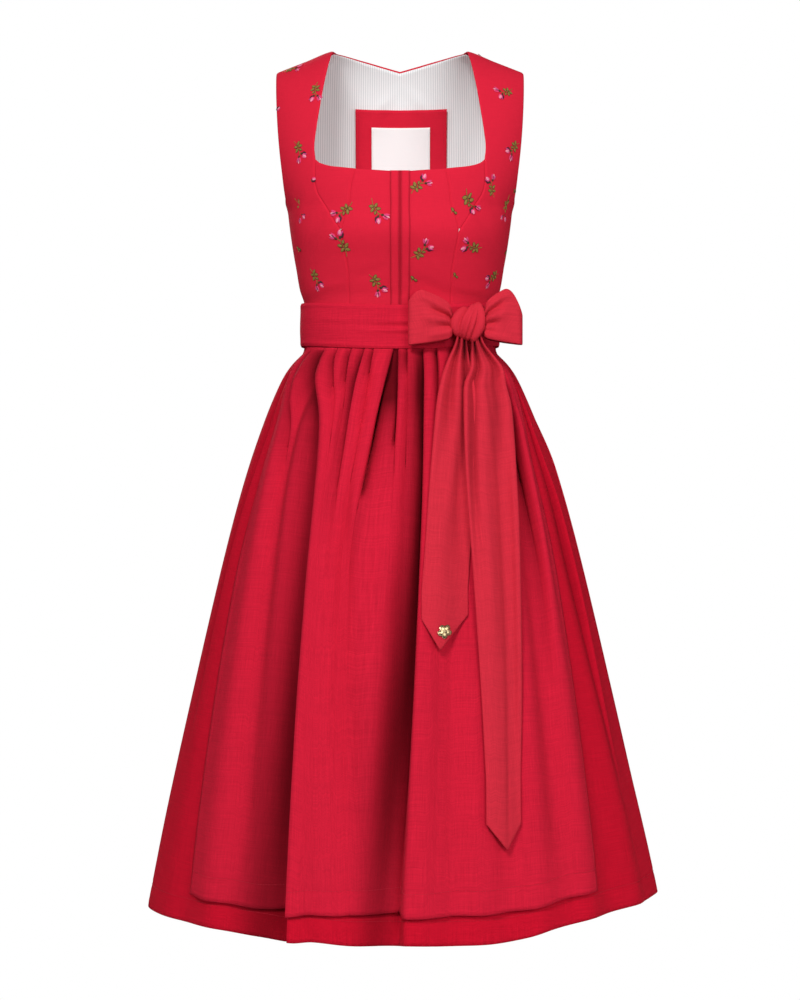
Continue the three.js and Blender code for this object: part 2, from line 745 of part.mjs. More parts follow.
function seamLine(name, angle) {
  const path = LINE_HEIGHTS.map((z) => ({ z, angle }));
  return { name, path, depth: 0, rise: 0 };
}

// Uneven but repeatable number from -1 to 1 for the k-th fold.
function uneven(k) {
  return Math.sin(k * 2.4 + 1.1) * 0.6 + Math.sin(k * 5.3) * 0.4;
}

function backFolds() {
  const spacing = 2 * RIGHT_ANGLE / (BACK_FOLD_COUNT + 1);
  return shares(BACK_FOLD_COUNT - 1).map((_, k) => {
    const isDeep = k % BACK_DEEP_EVERY === 1;
    const shape = isDeep ? BACK_DEEP : BACK_FOLD;
    const path = LINE_HEIGHTS.map((z, i) => ({
      z,
      angle: RIGHT_ANGLE + spacing * (k + 1 + BACK_FOLD_WANDER * uneven(k + 0.25 * i)),
    }));
    return {
      ...shape,
      name: `back_${k}`,
      path,
      depth: shape.depth * (1 + BACK_DEPTH_WANDER * uneven(k + 3)),
      ends: isDeep ? shape.ends : shape.ends + BACK_END_WANDER * uneven(k + 7),
      side: isDeep && k > BACK_FOLD_COUNT / 2 ? -shape.side : shape.side,
    };
  });
}

const LINES = [
  seamLine('seam_left', -RIGHT_ANGLE),
  ...FRONT_FOLDS.map((fold) => ({
    ...fold,
    path: fold.across.map((x, i) => ({
      z: LINE_HEIGHTS[i],
      angle: angleAcross(x, LINE_HEIGHTS[i]),
    })),
  })),
  seamLine('seam_right', RIGHT_ANGLE),
  ...backFolds(),
  seamLine('seam_left_again', 3 * RIGHT_ANGLE),
];

// Half widths of the folds' steps on one level, from where the lines are on it.
function edgeHalves(spots, z) {
  const free = EDGE_HALF + EDGE_GROWTH * (FOLDS_START - Math.min(z, FOLDS_START));
  return LINES.map((line, k) => {
    if (line.depth === 0) {
      return 0;
    }
    const near = Math.min(spots[k] - spots[k - 1], spots[k + 1] - spots[k]);
    return Math.min(free, EDGE_CROWDING * near);
  });
}

// How far a fold moves the cloth at `arc`, measured from its line, at height z. edge is
// half the width of its step there.
function foldMove(fold, edge, arc, z) {
  if (fold.depth === 0 || z >= FOLDS_START) {
    return 0;
  }
  const grown = Math.min(1, (FOLDS_START - z) / (FOLDS_START - fold.full)) ** FOLD_POWER;
  const faded = smooth((fold.ends - z) / (fold.ends - fold.full));
  const width = mix(FOLD_NARROW, 1, grown);
  const t = arc * fold.side;
  const valley = Math.max(0, 1 - Math.max(0, -t - edge) / (fold.fall * width)) ** 2;
  const ridge = Math.max(0, 1 - Math.max(0, t - edge) / (fold.lie * width)) ** 2;
  const over = smooth((t + edge) / (2 * edge));
  return grown * faded * mix(-fold.depth * valley, fold.rise * ridge, over);
}

// Columns of the mesh run along the fold lines, one on each side of a fold's step, with
// two more on the way to the next line.
function skirtColumns() {
  const columns = [];
  LINES.forEach((line, k) => {
    if (line.depth > 0) {
      columns.push({ from: k - 1, way: 1, name: line.name });
    }
    if (k < LINES.length - 1) {
      [0, 1 / 3, 2 / 3].forEach((way) => columns.push({ from: k, way, name: line.name }));
    } else {
      columns.push({ from: k - 1, way: 1, name: line.name });
    }
  });
  return columns;
}

const COLUMNS = skirtColumns();

// Points of the skirt's outside on one level, and the outward direction at each.
function skirtRow(z) {
  const arcs = ringArcs(z);
  const spots = LINES.map((line) => arcAt(arcs, along(line.path, 'z', 'angle', z)));
  const edges = edgeHalves(spots, z);
  const girth = arcs[ARC_STEPS];
  const rounds = COLUMNS.map((column) => {
    const k = column.from;
    return mix(spots[k] + edges[k], spots[k + 1] - edges[k + 1], column.way);
  });
  const points = rounds.map((arc) => {
    const angle = angleAt(arcs, arc);
    const p = ringPoint(angle, z);
    const out = ringOut(angle, z);
    let move = 0;
    LINES.forEach((line, k) => {
      let gap = arc - spots[k];
      gap -= Math.round(gap / girth) * girth;
      move += foldMove(line, edges[k], gap, z);
    });
    return { p: p.addScaledVector(out, move), out };
  });
  const last = points.length - 1;
  return points.map(({ p, out }, i) => {
    const before = points[i === 0 ? last - 1 : i - 1].p;
    const after = points[i === last ? 1 : i + 1].p;
    return { p, base: out, out: cornerOut(before, p, after) };
  });
}

const RING_STEP = 0.002;
const MITRE_LIMIT = 1.5;

// Level outward direction of the body's ring.
function ringOut(angle, z) {
  const a = ringPoint(angle - RING_STEP, z);
  const b = ringPoint(angle + RING_STEP, z);
  return new THREE.Vector3(b.y - a.y, a.x - b.x, 0).normalize();
}

// Outward direction at a corner of a level outline, lengthened as a mitre is.
function cornerOut(before, at, after) {
  const a = new THREE.Vector3(at.y - before.y, before.x - at.x, 0).normalize();
  const b = new THREE.Vector3(after.y - at.y, at.x - after.x, 0).normalize();
  const out = a.clone().add(b).normalize();
  return out.multiplyScalar(1 / Math.max(1 / MITRE_LIMIT, out.dot(a)));
}

const SKIRT = SKIRT_ROWS.map(skirtRow);

function columnOf(name) {
  return COLUMNS.findIndex((column) => column.name === name);
}

function buildSkirtHalf(name, first, last) {
  const rows = SKIRT.map((row) => row.slice(first, last + 1));
  const layer = (offset) => rows.map((row) => row.map(({ p, out }) => (
    p.clone().addScaledVector(out, offset))));
  addPiece(name, wallGeometry(trimmed(layer(0)), trimmed(layer(-SKIRT_WALL))), RED_SKIRT);
}

// The apron is made from the skirt's points, moved out, and stands off it towards the hem.
function apronLayer(offset) {
  const first = columnOf('apron_left');
  const last = columnOf('apron_right');
  return APRON_ROWS.map((z, r) => {
    const drop = smooth((FOLDS_START - z) / (FOLDS_START - APRON_HEM));
    return SKIRT[r].slice(first, last + 1).map(({ p, base, out }) => (
      p.clone().addScaledVector(out, offset).addScaledVector(base, APRON_AIR * drop)));
  });
}

const APRON_OUTSIDE = apronLayer(LAYER_GAP + SKIRT_WALL);

function buildSkirt() {
  buildSkirtHalf('skirt_front', 0, columnOf('seam_right'));
  buildSkirtHalf('skirt_back', columnOf('seam_right'), COLUMNS.length - 1);
  addPiece('apron', wallGeometry(APRON_OUTSIDE, apronLayer(LAYER_GAP)), RED_APRON);
}

// ---------------------------------------------------------------- sash and bow

const SASH_ROWS = 2;
const SASH_COLUMNS = 32;

function buildSashHalf(name, start) {
  const layer = (offset) => shares(SASH_ROWS).map((v) => shares(SASH_COLUMNS).map((u) => {
    const angle = start + 2 * RIGHT_ANGLE * u;
    const dip = SASH_DIP * Math.max(0, Math.cos(angle)) ** 2;
    const z = SASH_TOP - dip - SASH_WIDTH * v;
    const p = ringPoint(angle, Math.max(z, FOLDS_START));
    p.z = z;
    return p.addScaledVector(ringOut(angle, z), offset);
  }));
  const outer = trimmed(layer(SASH_AWAY + SASH_WALL));
  addPiece(name, wallGeometry(outer, trimmed(layer(SASH_AWAY))), RED_APRON);
}

// The two faces of a ribbon round a grid of points that lie in its middle.
function ribbonFaces(grid) {
  const at = (r, c) => grid[Math.min(grid.length - 1, Math.max(0, r))][
    Math.min(grid[0].length - 1, Math.max(0, c))];
  const layer = (offset) => grid.map((row, r) => row.map((p, c) => {
    const u = at(r, c + 1).clone().sub(at(r, c - 1));
    const v = at(r + 1, c).clone().sub(at(r - 1, c));
    return p.clone().addScaledVector(u.cross(v).normalize(), offset);
  }));
  return [layer(RIBBON_WALL / 2), layer(-RIBBON_WALL / 2)];
}

// A loop runs from the knot to its tip and back in front of itself.
function buildLoop(name, loop) {
  const rows = 5;
  const columns = 14;
  const grid = shares(rows).map((v) => shares(columns).map((u) => {
    const out = Math.sin(Math.PI * u) ** LOOP_ROUNDNESS;
    const near = mix(loop.nearRoot, loop.nearTip, out);
    const far = mix(loop.farRoot, loop.farTip, out);
    const spread = out ** loop.shoulder;
    const corner = Math.max(0, (out - loop.cornerFrom) / (1 - loop.cornerFrom)) ** 2;
    const top = mix(loop.rootTop, loop.tipTop, spread) - loop.cornerDrop * corner;
    const bottom = mix(loop.rootBottom, loop.tipBottom, spread);
    return new THREE.Vector3(
      mix(loop.root, loop.reach, out),
      mix(near, far, smooth((u - LOOP_TURN.start) / LOOP_TURN.share)),
      mix(top, bottom, v),
    );
  }));
  addPiece(name, wallGeometry(...ribbonFaces(grid)), RED_APRON);
}

// The knot is a squarish lump with the folds of the wrapped ribbon running across it.
function buildKnot() {
  const rounds = 18;
  const levels = 12;
  const points = [];
  const place = (turn, rise) => {
    const power = (value) => Math.sign(value) * Math.abs(value) ** (2 / KNOT.square);
    const wave = Math.max(0, Math.sin(KNOT.grooves * turn + KNOT.slant * rise));
    const wrap = 1 - KNOT.groove * wave * Math.cos(rise);
    return new THREE.Vector3(
      KNOT.x + KNOT.half[0] * power(Math.cos(turn)) * power(Math.cos(rise)) * wrap,
      KNOT.y + KNOT.half[1] * power(Math.sin(turn)) * power(Math.cos(rise)) * wrap,
      KNOT.z + KNOT.half[2] * power(Math.sin(rise)),
    );
  };
  points.push(place(0, -RIGHT_ANGLE));
  for (let i = 1; i < levels; i += 1) {
    for (let k = 0; k < rounds; k += 1) {
      points.push(place(4 * RIGHT_ANGLE * k / rounds, -RIGHT_ANGLE + 2 * RIGHT_ANGLE * i / levels));
    }
  }
  points.push(place(0, RIGHT_ANGLE));
  const triangles = [];
  const last = points.length - 1;
  const at = (i, k) => 1 + (i - 1) * rounds + (k % rounds);
  for (let k = 0; k < rounds; k += 1) {
    triangles.push(0, at(1, k + 1), at(1, k));
    triangles.push(last, at(levels - 1, k), at(levels - 1, k + 1));
    for (let i = 1; i < levels - 1; i += 1) {
      triangles.push(at(i, k), at(i, k + 1), at(i + 1, k + 1));
      triangles.push(at(i, k), at(i + 1, k + 1), at(i + 1, k));
    }
  }
  addPiece('bow_knot', solidGeometry(points, triangles), RED_APRON);
}

// The apron's foremost point near a place seen from the front.
function apronFront(x, z) {
  const r = APRON_ROWS.findIndex((row, i) => i > 0 && row <= z);
  const t = (z - APRON_ROWS[r - 1]) / (APRON_ROWS[r] - APRON_ROWS[r - 1]);
  let front = 0;
  APRON_OUTSIDE[r].forEach((below, c) => {
    const above = APRON_OUTSIDE[r - 1][c];
    if (Math.abs(mix(above.x, below.x, t) - x) < TAIL_REACH) {
      front = Math.min(front, mix(above.y, below.y, t));
    }
  });
  return front;
}

function tailPoint(x, z, away) {
  return new THREE.Vector3(x, Math.min(KNOT.y, apronFront(x, z) - TAIL_CLEARANCE) - away(z), z);
}

// A tail ends in a slanting point: its last row runs from the left corner over the point
// to the right corner. Returns the front face.
function buildTail(name, rows, tip, away) {
  const end = rows[rows.length - 1];
  const point = (tip.across - end.left) / (end.right - end.left);
  const ways = [0, point / 2, point, (1 + point) / 2, 1];
  const grid = rows.map((row) => ways.map((way) => (
    tailPoint(mix(row.left, row.right, way), row.z, away))));
  grid.push(ways.map((way) => {
    const z = way < point
      ? mix(tip.left, tip.point, way / point)
      : mix(tip.point, tip.right, (way - point) / (1 - point));
    return tailPoint(mix(end.left, end.right, way), z, away);
  }));
  const [back, face] = ribbonFaces(grid);
  addPiece(name, wallGeometry(back, face), RED_APRON);
  return face;
}

function shortAway() {
  return 0;
}

function longAway(z) {
  const over = smooth((OVERLAP.top - z) / OVERLAP.rise);
  return OVERLAP.lift * over * (1 - smooth((OVERLAP.bottom - z) / OVERLAP.fall));
}

// The pendant is a small flower that lies on the short tail's face.
function buildPendant(face) {
  const shape = new THREE.Shape();
  const steps = 40;
  for (let i = 0; i < steps; i += 1) {
    const turn = 4 * RIGHT_ANGLE * i / steps;
    const petal = Math.abs(Math.sin(PENDANT.petals * turn / 2));
    const radius = PENDANT.radius * mix(PENDANT.notch, 1, petal);
    const x = radius * Math.sin(turn);
    const y = radius * Math.cos(turn);
    if (i === 0) {
      shape.moveTo(x, y);
    } else {
      shape.lineTo(x, y);
    }
  }
  const geometry = new THREE.ExtrudeGeometry(shape, {
    depth: PENDANT.thickness, bevelEnabled: false, curveSegments: 1,
  });
  const on = (dx, dz) => new THREE.Vector3(
    PENDANT.x + dx, depthOn(face, PENDANT.x + dx, PENDANT.z + dz), PENDANT.z + dz);
  const at = on(0, 0);
  const right = on(PENDANT.radius, 0).sub(on(-PENDANT.radius, 0));
  const up = on(0, PENDANT.radius).sub(on(0, -PENDANT.radius));
  const out = new THREE.Vector3().crossVectors(right, up).normalize();
  const turn = new THREE.Quaternion().setFromUnitVectors(new THREE.Vector3(0, 0, 1), out);
  geometry.applyQuaternion(turn);
  at.addScaledVector(out, LAYER_GAP);
  geometry.translate(at.x, at.y, at.z);
  addPiece('tail_pendant', geometry, GILT);
}

buildFront(-1, 'left');
buildFront(1, 'right');
buildBack();
buildLining();
buildSkirt();
buildSashHalf('sash_front', -RIGHT_ANGLE);
buildSashHalf('sash_back', RIGHT_ANGLE);
buildLoop('bow_loop_left', LOOP_LEFT);
buildLoop('bow_loop_right', LOOP_RIGHT);
buildKnot();
buildPendant(buildTail('bow_tail_short', TAIL_SHORT, TAIL_SHORT_TIP, shortAway));
buildTail('bow_tail_long', TAIL_LONG, TAIL_LONG_TIP, longAway);

export default dirndl;
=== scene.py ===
import math

import bpy
import numpy as np
from bpy.props import FloatProperty, FloatVectorProperty, PointerProperty
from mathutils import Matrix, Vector
from mathutils.bvhtree import BVHTree


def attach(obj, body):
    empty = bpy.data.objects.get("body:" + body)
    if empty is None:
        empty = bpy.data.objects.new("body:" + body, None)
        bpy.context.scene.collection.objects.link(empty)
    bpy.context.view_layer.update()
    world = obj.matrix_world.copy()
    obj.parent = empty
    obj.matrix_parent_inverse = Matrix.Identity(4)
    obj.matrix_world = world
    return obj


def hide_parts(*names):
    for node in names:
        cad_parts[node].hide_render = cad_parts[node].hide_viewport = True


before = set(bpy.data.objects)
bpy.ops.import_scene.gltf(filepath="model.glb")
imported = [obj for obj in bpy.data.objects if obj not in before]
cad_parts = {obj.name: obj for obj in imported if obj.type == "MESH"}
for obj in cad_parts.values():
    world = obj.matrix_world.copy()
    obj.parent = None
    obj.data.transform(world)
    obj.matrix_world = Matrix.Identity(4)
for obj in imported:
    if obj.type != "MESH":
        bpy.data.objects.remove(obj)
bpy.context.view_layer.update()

bl_info = {
    "name": "Dirndl with Apron",
    "version": (1, 0, 0),
    "blender": (4, 5, 0),
    "location": "3D View > Sidebar > Dirndl",
    "description": "Makes a dirndl's cloth, sash, bow, sewing and embroidery over its solids",
    "category": "Add Mesh",
}

METRE = 0.001                # the sizes below are millimetres


# ------------------------------------------------------------------ tables and curves

def table(columns, *rows):
    """One array for each named column."""
    return dict(zip(columns.split(), np.array(rows, float).T))


def rows_of(named):
    """The rows of a table, each in the order of its columns."""
    return zip(*named.values())


def along(rows, key, column, at):
    """Smooth curve through a table's column."""
    xs, ys = rows[key], rows[column]
    at = np.asarray(at, float)
    sign = np.sign(xs[-1] - xs[0])
    k = np.clip(np.searchsorted(xs * sign, at * sign) - 1, 0, len(xs) - 2)
    before = np.maximum(np.arange(len(xs)) - 1, 0)
    after = np.minimum(np.arange(len(xs)) + 1, len(xs) - 1)
    slope = (ys[after] - ys[before]) / (xs[after] - xs[before])
    span = xs[k + 1] - xs[k]
    t = np.clip((at - xs[k]) / span, 0, 1)
    return ((2 * t**3 - 3 * t**2 + 1) * ys[k] + (t**3 - 2 * t**2 + t) * slope[k] * span
            + (3 * t**2 - 2 * t**3) * ys[k + 1] + (t**3 - t**2) * slope[k + 1] * span)


def mix(a, b, t):
    return a + (b - a) * t


def smooth(t):
    t = np.clip(t, 0, 1)
    return t * t * (3 - 2 * t)


def bump(distance, width):
    return np.exp(-(distance / width) ** 2)


def unit(v):
    return v / np.maximum(np.linalg.norm(v, axis=-1, keepdims=True), 1e-12)


def spline(values, at):
    """Smooth curve through equally spaced values, at fractional places."""
    last = len(values) - 1
    k = np.clip(np.floor(at).astype(int), 0, last - 1)
    t = (at - k).reshape((-1,) + (1,) * (values.ndim - 1))
    p1, p2 = values[k], values[k + 1]
    p0 = np.where((k > 0).reshape(t.shape), values[np.maximum(k - 1, 0)], 2 * p1 - p2)
    p3 = np.where((k + 2 <= last).reshape(t.shape), values[np.minimum(k + 2, last)], 2 * p2 - p1)
    return 0.5 * (2 * p1 + (p2 - p0) * t + (2 * p0 - 5 * p1 + 4 * p2 - p3) * t**2
                  + (3 * p1 - p0 - 3 * p2 + p3) * t**3)


def refine(grid, rows_at, columns_at, breaks=()):
    """A finer grid through a coarse one, which keeps its corners at the rows in breaks."""
    ends = [0, *breaks, len(grid) - 1]
    parts = []
    for low, high in zip(ends, ends[1:]):
        inside = (rows_at >= low) & ((rows_at < high) | (high == ends[-1]))
        parts.append(spline(grid[low:high + 1], rows_at[inside] - low))
    tall = np.concatenate(parts)
    return np.swapaxes(spline(np.swapaxes(tall, 0, 1), columns_at), 0, 1)


def crowded(count, span, ends=0.8):
    """Places from 0 to span that lie closer at both ends."""
    t = np.linspace(0, 1, count)
    return span * (t - ends * np.sin(2 * np.pi * t) / (2 * np.pi))


def steps_of(grid, axis):
    """Distances along one axis of a grid of points, from its start."""
    gaps = np.linalg.norm(np.diff(grid, axis=axis), axis=-1)
    start = np.zeros_like(np.take(gaps, [0], axis=axis))
    return np.concatenate([start, np.cumsum(gaps, axis=axis)], axis=axis)


def grid_normals(grid, outward):
    """Unit normals of a grid of points, on the side that the outward vectors name."""
    normal = unit(np.cross(np.gradient(grid, axis=1), np.gradient(grid, axis=0)))
    return normal * np.sign(np.sum(normal * outward))


# ------------------------------------------------------------------ sizes of the garment

ARMPIT, WAIST_SEAM, SKIRT_HEM, APRON_HEM = -204, -350, -1064, -1032
SASH_TOP, SASH_WIDTH, SASH_DIP, SASH_AWAY, SASH_WALL = -316, 53, 8, 3, 1.6
BODICE_WALL, SKIRT_WALL, RIBBON_WALL, LINING_WALL = 1.6, 1.4, 1.4, 1
LAYER_GAP, PLACKET_WIDTH, PLACKET_WALL, PLACKET_BOTTOM = 0.5, 12, 1.1, -332
NECK_HALF_WIDTH, SHOULDER_SHARE = 82, 0.998
SHOULDER = -ARMPIT

SECTIONS = table(
    "z half front back square",
    (-150, 143, 122, 100, 2.3), (ARMPIT, 139.5, 124, 100, 2.35), (-237, 135.3, 124, 98, 2.45),
    (-270, 130, 110, 94, 2.35), (-298, 125, 98, 89, 2.3), (-314, 120, 92.5, 87, 2.25),
    (WAIST_SEAM, 119.5, 90, 86, 2.25), (-378, 121, 91.5, 87.5, 2.2), (-391, 129, 99, 95, 2.15),
    (-416, 142.5, 110, 106, 2.1), (-466, 165, 130, 126, 2.05), (-541, 192, 152, 148, 2),
    (-641, 220, 178, 174, 1.9), (-791, 256, 212, 208, 1.8), (-941, 290, 240, 238, 1.73),
    (SKIRT_HEM, 315, 260, 260, 1.7))
SHOULDER_LINE = table(
    "x front back",
    (0, 0, 42), (42, 0, 29), (82, 0, 0), (118, -13.5, -13.5), (154, -27, -27),
    (190, -40.5, -40.5))
ARMHOLE = table(
    "rise half angle",
    (0, 139.5, 90), (0.04, 141, 77), (0.14, 144.8, 68), (0.3, 149.5, 64), (0.5, 152.5, 62),
    (0.75, 154, 61.5), (1, 154, 62))
ARMHOLE_CROWDING = 1.8

PRINCESS_LOW = ((60, WAIST_SEAM), (62, -320), (62.5, -289), (66.5, -262), (71, -237))
PRINCESS_HIGH = ((71, -237), (65.5, -215), (60, -190), (54.5, -162.5))
INSERT_EDGE = ((71, -237), (87, -211), (101, -186), (102.5, -149))
STRAP_EDGE = ((102.5, -149), (104, -132), (101, -106), (96.5, -76), (90, -36), (85, -10), (82, 0))
NECK_FRONT = ((0, -166), (29, -165), (54.5, -162.5), (82, -158.5), (96, -154), (102.5, -149))
BACK_SEAM = ((42, WAIST_SEAM), (44, -316), (56, -250), (73, -180), (84, -132), (94, -84),
             (104, -36), (108, -10))
NECK_BACK = table("x z", (0, -12.7), (20, -7.9), (41, -3.2), (61, -0.2), (72, 0.5), (82, 0))
NECK_COLUMNS = (-82, -56, -27, 0, 27, 56, 82)
BACK_LEAN = 1.2              # how late the back's columns turn towards the neck
BACK_SEAM_ROWS = 3           # rows of the side seam, below the armpit
SIDE_COLUMNS = 4             # of each side piece, front and back
INSERT_POINT = 0.1           # width that the insert keeps at its foot, as a share


# ------------------------------------------------------------------ the body's surface

def section(z):
    return [along(SECTIONS, "z", name, z) for name in ("half", "front", "back", "square")]


def ring_point(angle, z):
    half, front, back, square = section(z)
    sin, cos = np.sin(angle), np.cos(angle)
    depth = np.where(cos > 0, front, back)
    x = np.sign(sin) * half * np.abs(sin) ** (2 / square)
    y = -np.sign(cos) * depth * np.abs(cos) ** (2 / square)
    return np.stack(np.broadcast_arrays(x, y, np.asarray(z, float)), -1)


def ring_out(angle, z):
    a, b = ring_point(angle - 0.002, z), ring_point(angle + 0.002, z)
    step = b - a
    return unit(np.stack([step[..., 1], -step[..., 0], 0 * step[..., 0]], -1))


def shoulder_height(x, back):
    return along(SHOULDER_LINE, "x", "back" if back else "front", np.abs(x))


def arch_half(rise):
    square = along(SECTIONS, "z", "square", ARMPIT)
    angle = np.radians(along(ARMHOLE, "rise", "angle", rise))
    return along(ARMHOLE, "rise", "half", rise) / np.sin(angle) ** (2 / square)


def bodice_point(angle, level, back):
    """Charted by the angle from the middle and a level: below 0 a height under the armpit,
    and from there to SHOULDER along the rising arch."""
    facing = 1 if back else -1
    cos, sin = np.maximum(np.cos(angle), 0), np.sin(angle)
    z = ARMPIT + np.minimum(level, 0)
    half, front, rear, square = section(z)
    power = 2 / square
    depth = rear if back else front
    low = np.stack([np.sign(sin) * half * np.abs(sin) ** power, facing * depth * cos ** power, z], -1)
    rise = np.clip(level / SHOULDER, 0, SHOULDER_SHARE)
    turn = rise * np.pi / 2
    x = np.sign(sin) * arch_half(rise) * np.abs(sin) ** power
    height = (shoulder_height(x, back) - ARMPIT) * np.sin(turn)
    high = np.stack([x, facing * depth * cos ** power * np.cos(turn), ARMPIT + height], -1)
    return np.where((level <= 0)[..., None], low, high)


def bodice_normal(angle, level, back):
    side = np.where(angle > 0, -0.01, 0.01)
    upward = np.where(level > SHOULDER - 3, -2.0, 2.0)
    at = bodice_point(angle, level, back)
    across = bodice_point(angle + side, level, back) - at
    up = bodice_point(angle, level + upward, back) - at
    normal = unit(np.cross(across, up))
    outward = np.stack([np.sign(at[..., 0]) * 0.5, np.full(angle.shape, 1.0 if back else -1.0),
                        np.full(angle.shape, 0.5)], -1)
    return normal * np.sign(np.sum(normal * outward, -1, keepdims=True))


def chart(x, z, back):
    """Chart place of a point known by its distance from the middle and its height."""
    if z <= ARMPIT:
        half, _, _, square = section(z)
        share = min(1, abs(x) / half)
        return np.array([np.sign(x) * math.asin(share ** (square / 2)), z - ARMPIT])
    sin = (z - ARMPIT) / (shoulder_height(x, back) - ARMPIT)
    rise = math.asin(min(1, sin)) / (np.pi / 2)
    share = min(1, abs(x) / arch_half(rise))
    square = along(SECTIONS, "z", "square", ARMPIT)
    return np.array([np.sign(x) * math.asin(share ** (square / 2)), rise * SHOULDER])


def seam(points, side, back):
    return np.array([chart(side * x, z, back) for x, z in points])


def side_places(seam_rows, hole_rows, side):
    """The side seam from the waist to the armpit, then the armhole."""
    bottom = WAIST_SEAM - ARMPIT
    low = [(side * np.pi / 2, bottom * (1 - k / seam_rows)) for k in range(seam_rows)]
    rises = [(k / hole_rows) ** ARMHOLE_CROWDING for k in range(hole_rows + 1)]
    high = [(side * np.radians(along(ARMHOLE, "rise", "angle", r)), r * SHOULDER) for r in rises]
    return np.array([*low, *high])


def between(start, end, count):
    ways = np.linspace(0, 1, count)[None, :, None]
    return start[:, None] * (1 - ways) + end[:, None] * ways


# ------------------------------------------------------------------ meshes

def mesh_piece(name, points, faces, materials, face_material=None, uv=None, flat=(), sunk=None):
    """A mesh object in metres from points in millimetres. uv is one pair for each point, and
    the last argument is each point's painted shade, from 0 to 1, deepest in the folds."""
    mesh = bpy.data.meshes.new(name)
    mesh.from_pydata((np.asarray(points) * METRE).tolist(), [], [list(f) for f in faces])
    for material in materials:
        mesh.materials.append(material)
    if face_material is not None:
        mesh.polygons.foreach_set("material_index", np.asarray(face_material, np.int32))
    smooth_faces = np.ones(len(mesh.polygons), bool)
    smooth_faces[list(flat)] = False
    mesh.polygons.foreach_set("use_smooth", smooth_faces)
    if uv is not None:
        corner = np.zeros(len(mesh.loops), np.int32)
        mesh.loops.foreach_get("vertex_index", corner)
        layer = mesh.uv_layers.new(name="UVMap")
        layer.data.foreach_set("uv", (np.asarray(uv) * METRE)[corner].astype(np.float32).ravel())
    # painted shade of each point, which the cloth materials darken by
    if sunk is not None:
        layer = mesh.attributes.new("fold_depth", "FLOAT", "POINT")
        layer.data.foreach_set("value", np.asarray(sunk, np.float32))
    mesh.update()
    obj = bpy.data.objects.new(name, mesh)
    bpy.context.scene.collection.objects.link(obj)
    return obj


def settle(obj, nodes=()):
    """The piece moves with the one body and stands for its solids."""
    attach(obj, "root")
    if nodes:
        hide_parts(*nodes)


def grid_faces(rows, columns, start=0):
    r, c = np.meshgrid(np.arange(rows - 1), np.arange(columns - 1), indexing="ij")
    a = (start + r * columns + c).ravel()
    return np.stack([a, a + 1, a + columns + 1, a + columns], -1)


def cloth_wall(name, outer, inner, material, uv=None, sunk=None):
    """A thin closed wall of cloth between two grids of points."""
    rows, columns = outer.shape[:2]
    size = rows * columns
    if uv is None:
        uv = np.stack([steps_of(outer, 1), steps_of(outer, 0)], -1)
    front = grid_faces(rows, columns)
    rear = grid_faces(rows, columns, size)[:, ::-1]
    index = np.arange(size).reshape(rows, columns)
    ring = np.concatenate([index[0], index[1:, -1], index[-1, -2::-1], index[-2:0:-1, 0]])
    after = np.roll(ring, -1)
    rim = np.stack([after, ring, ring + size, after + size], -1)
    points = np.concatenate([outer.reshape(-1, 3), inner.reshape(-1, 3)])
    faces = np.concatenate([front, rear, rim])
    p, q, r, s = (points[faces[:, k]] for k in range(4))
    if np.sum(p * np.cross(q, r)) + np.sum(p * np.cross(r, s)) < 0:     # its volume is inside out
        faces = faces[:, ::-1]
    flat = range(len(front) + len(rear), len(faces))
    both = np.concatenate([uv.reshape(-1, 2)] * 2)
    if sunk is not None:
        sunk = np.concatenate([sunk.ravel()] * 2)
    return mesh_piece(name, points, faces.tolist(), [material], None, both, flat, sunk)


def rolled(outer, inner, edges, depth=1.0, width=2.0):
    """Turns the wall's edges in, as at a seam or a turned edge. edges names the ends of the
    rows and columns that turn: left, right, bottom and top."""
    across, up = steps_of(outer, 1), steps_of(outer, 0)
    away = {"left": across, "right": across[:, -1:] - across, "bottom": up, "top": up[-1:] - up}
    near = np.min([away[edge] for edge in edges], axis=0)
    inward = unit(inner - outer)
    turn = depth * bump(near, width)[..., None]
    return outer + inward * turn, inner - inward * turn * 0.3


def tube_sides(rings, rounds, start=0):
    """Faces between the rings of a tube whose points go round it and then along it."""
    ring = np.arange(rounds)
    low = start + np.arange(rings - 1)[:, None] * rounds
    a, b = low + ring, low + np.roll(ring, -1)
    return np.stack([a, b, b + rounds, a + rounds], -1).reshape(-1, 4)


# One stitch: place along it as a share of its length, and thickness and lift in radii.
STITCH = table("share thick lift", (-0.5, 0.25, -0.4), (-0.38, 0.9, 0.15), (0, 1, 0.45),
               (0.38, 0.9, 0.15), (0.5, 0.25, -0.4))
STITCH_SIDES = 5


def thread_run(path, normals, length, gap, radius):
    """Points and faces of a row of stitches along a path: each dips in at both ends."""
    lengths = np.concatenate([[0], np.cumsum(np.linalg.norm(np.diff(path, axis=0), axis=1))])
    turns = 2 * np.pi * np.arange(STITCH_SIDES)[None, :, None] / STITCH_SIDES
    rings = len(STITCH["share"])
    points, faces = [], []
    for k in range(int(lengths[-1] / (length + gap))):
        at = (k + 0.5) * (length + gap) + STITCH["share"] * length
        middle, normal = (np.stack([np.interp(at, lengths, values[:, i]) for i in range(3)], -1)
                          for values in (path, normals))
        normal = unit(normal)
        side = unit(np.cross(unit(middle[-1] - middle[0]), normal))
        lifted = middle + normal * (radius * STITCH["lift"])[:, None]
        thick = (radius * STITCH["thick"])[:, None, None]
        ring = lifted[:, None] + (side[:, None] * np.cos(turns) + normal[:, None] * np.sin(turns)) * thick
        points.append(ring.reshape(-1, 3))
        faces.append(tube_sides(rings, STITCH_SIDES, k * rings * STITCH_SIDES))
    return np.concatenate(points), np.concatenate(faces)


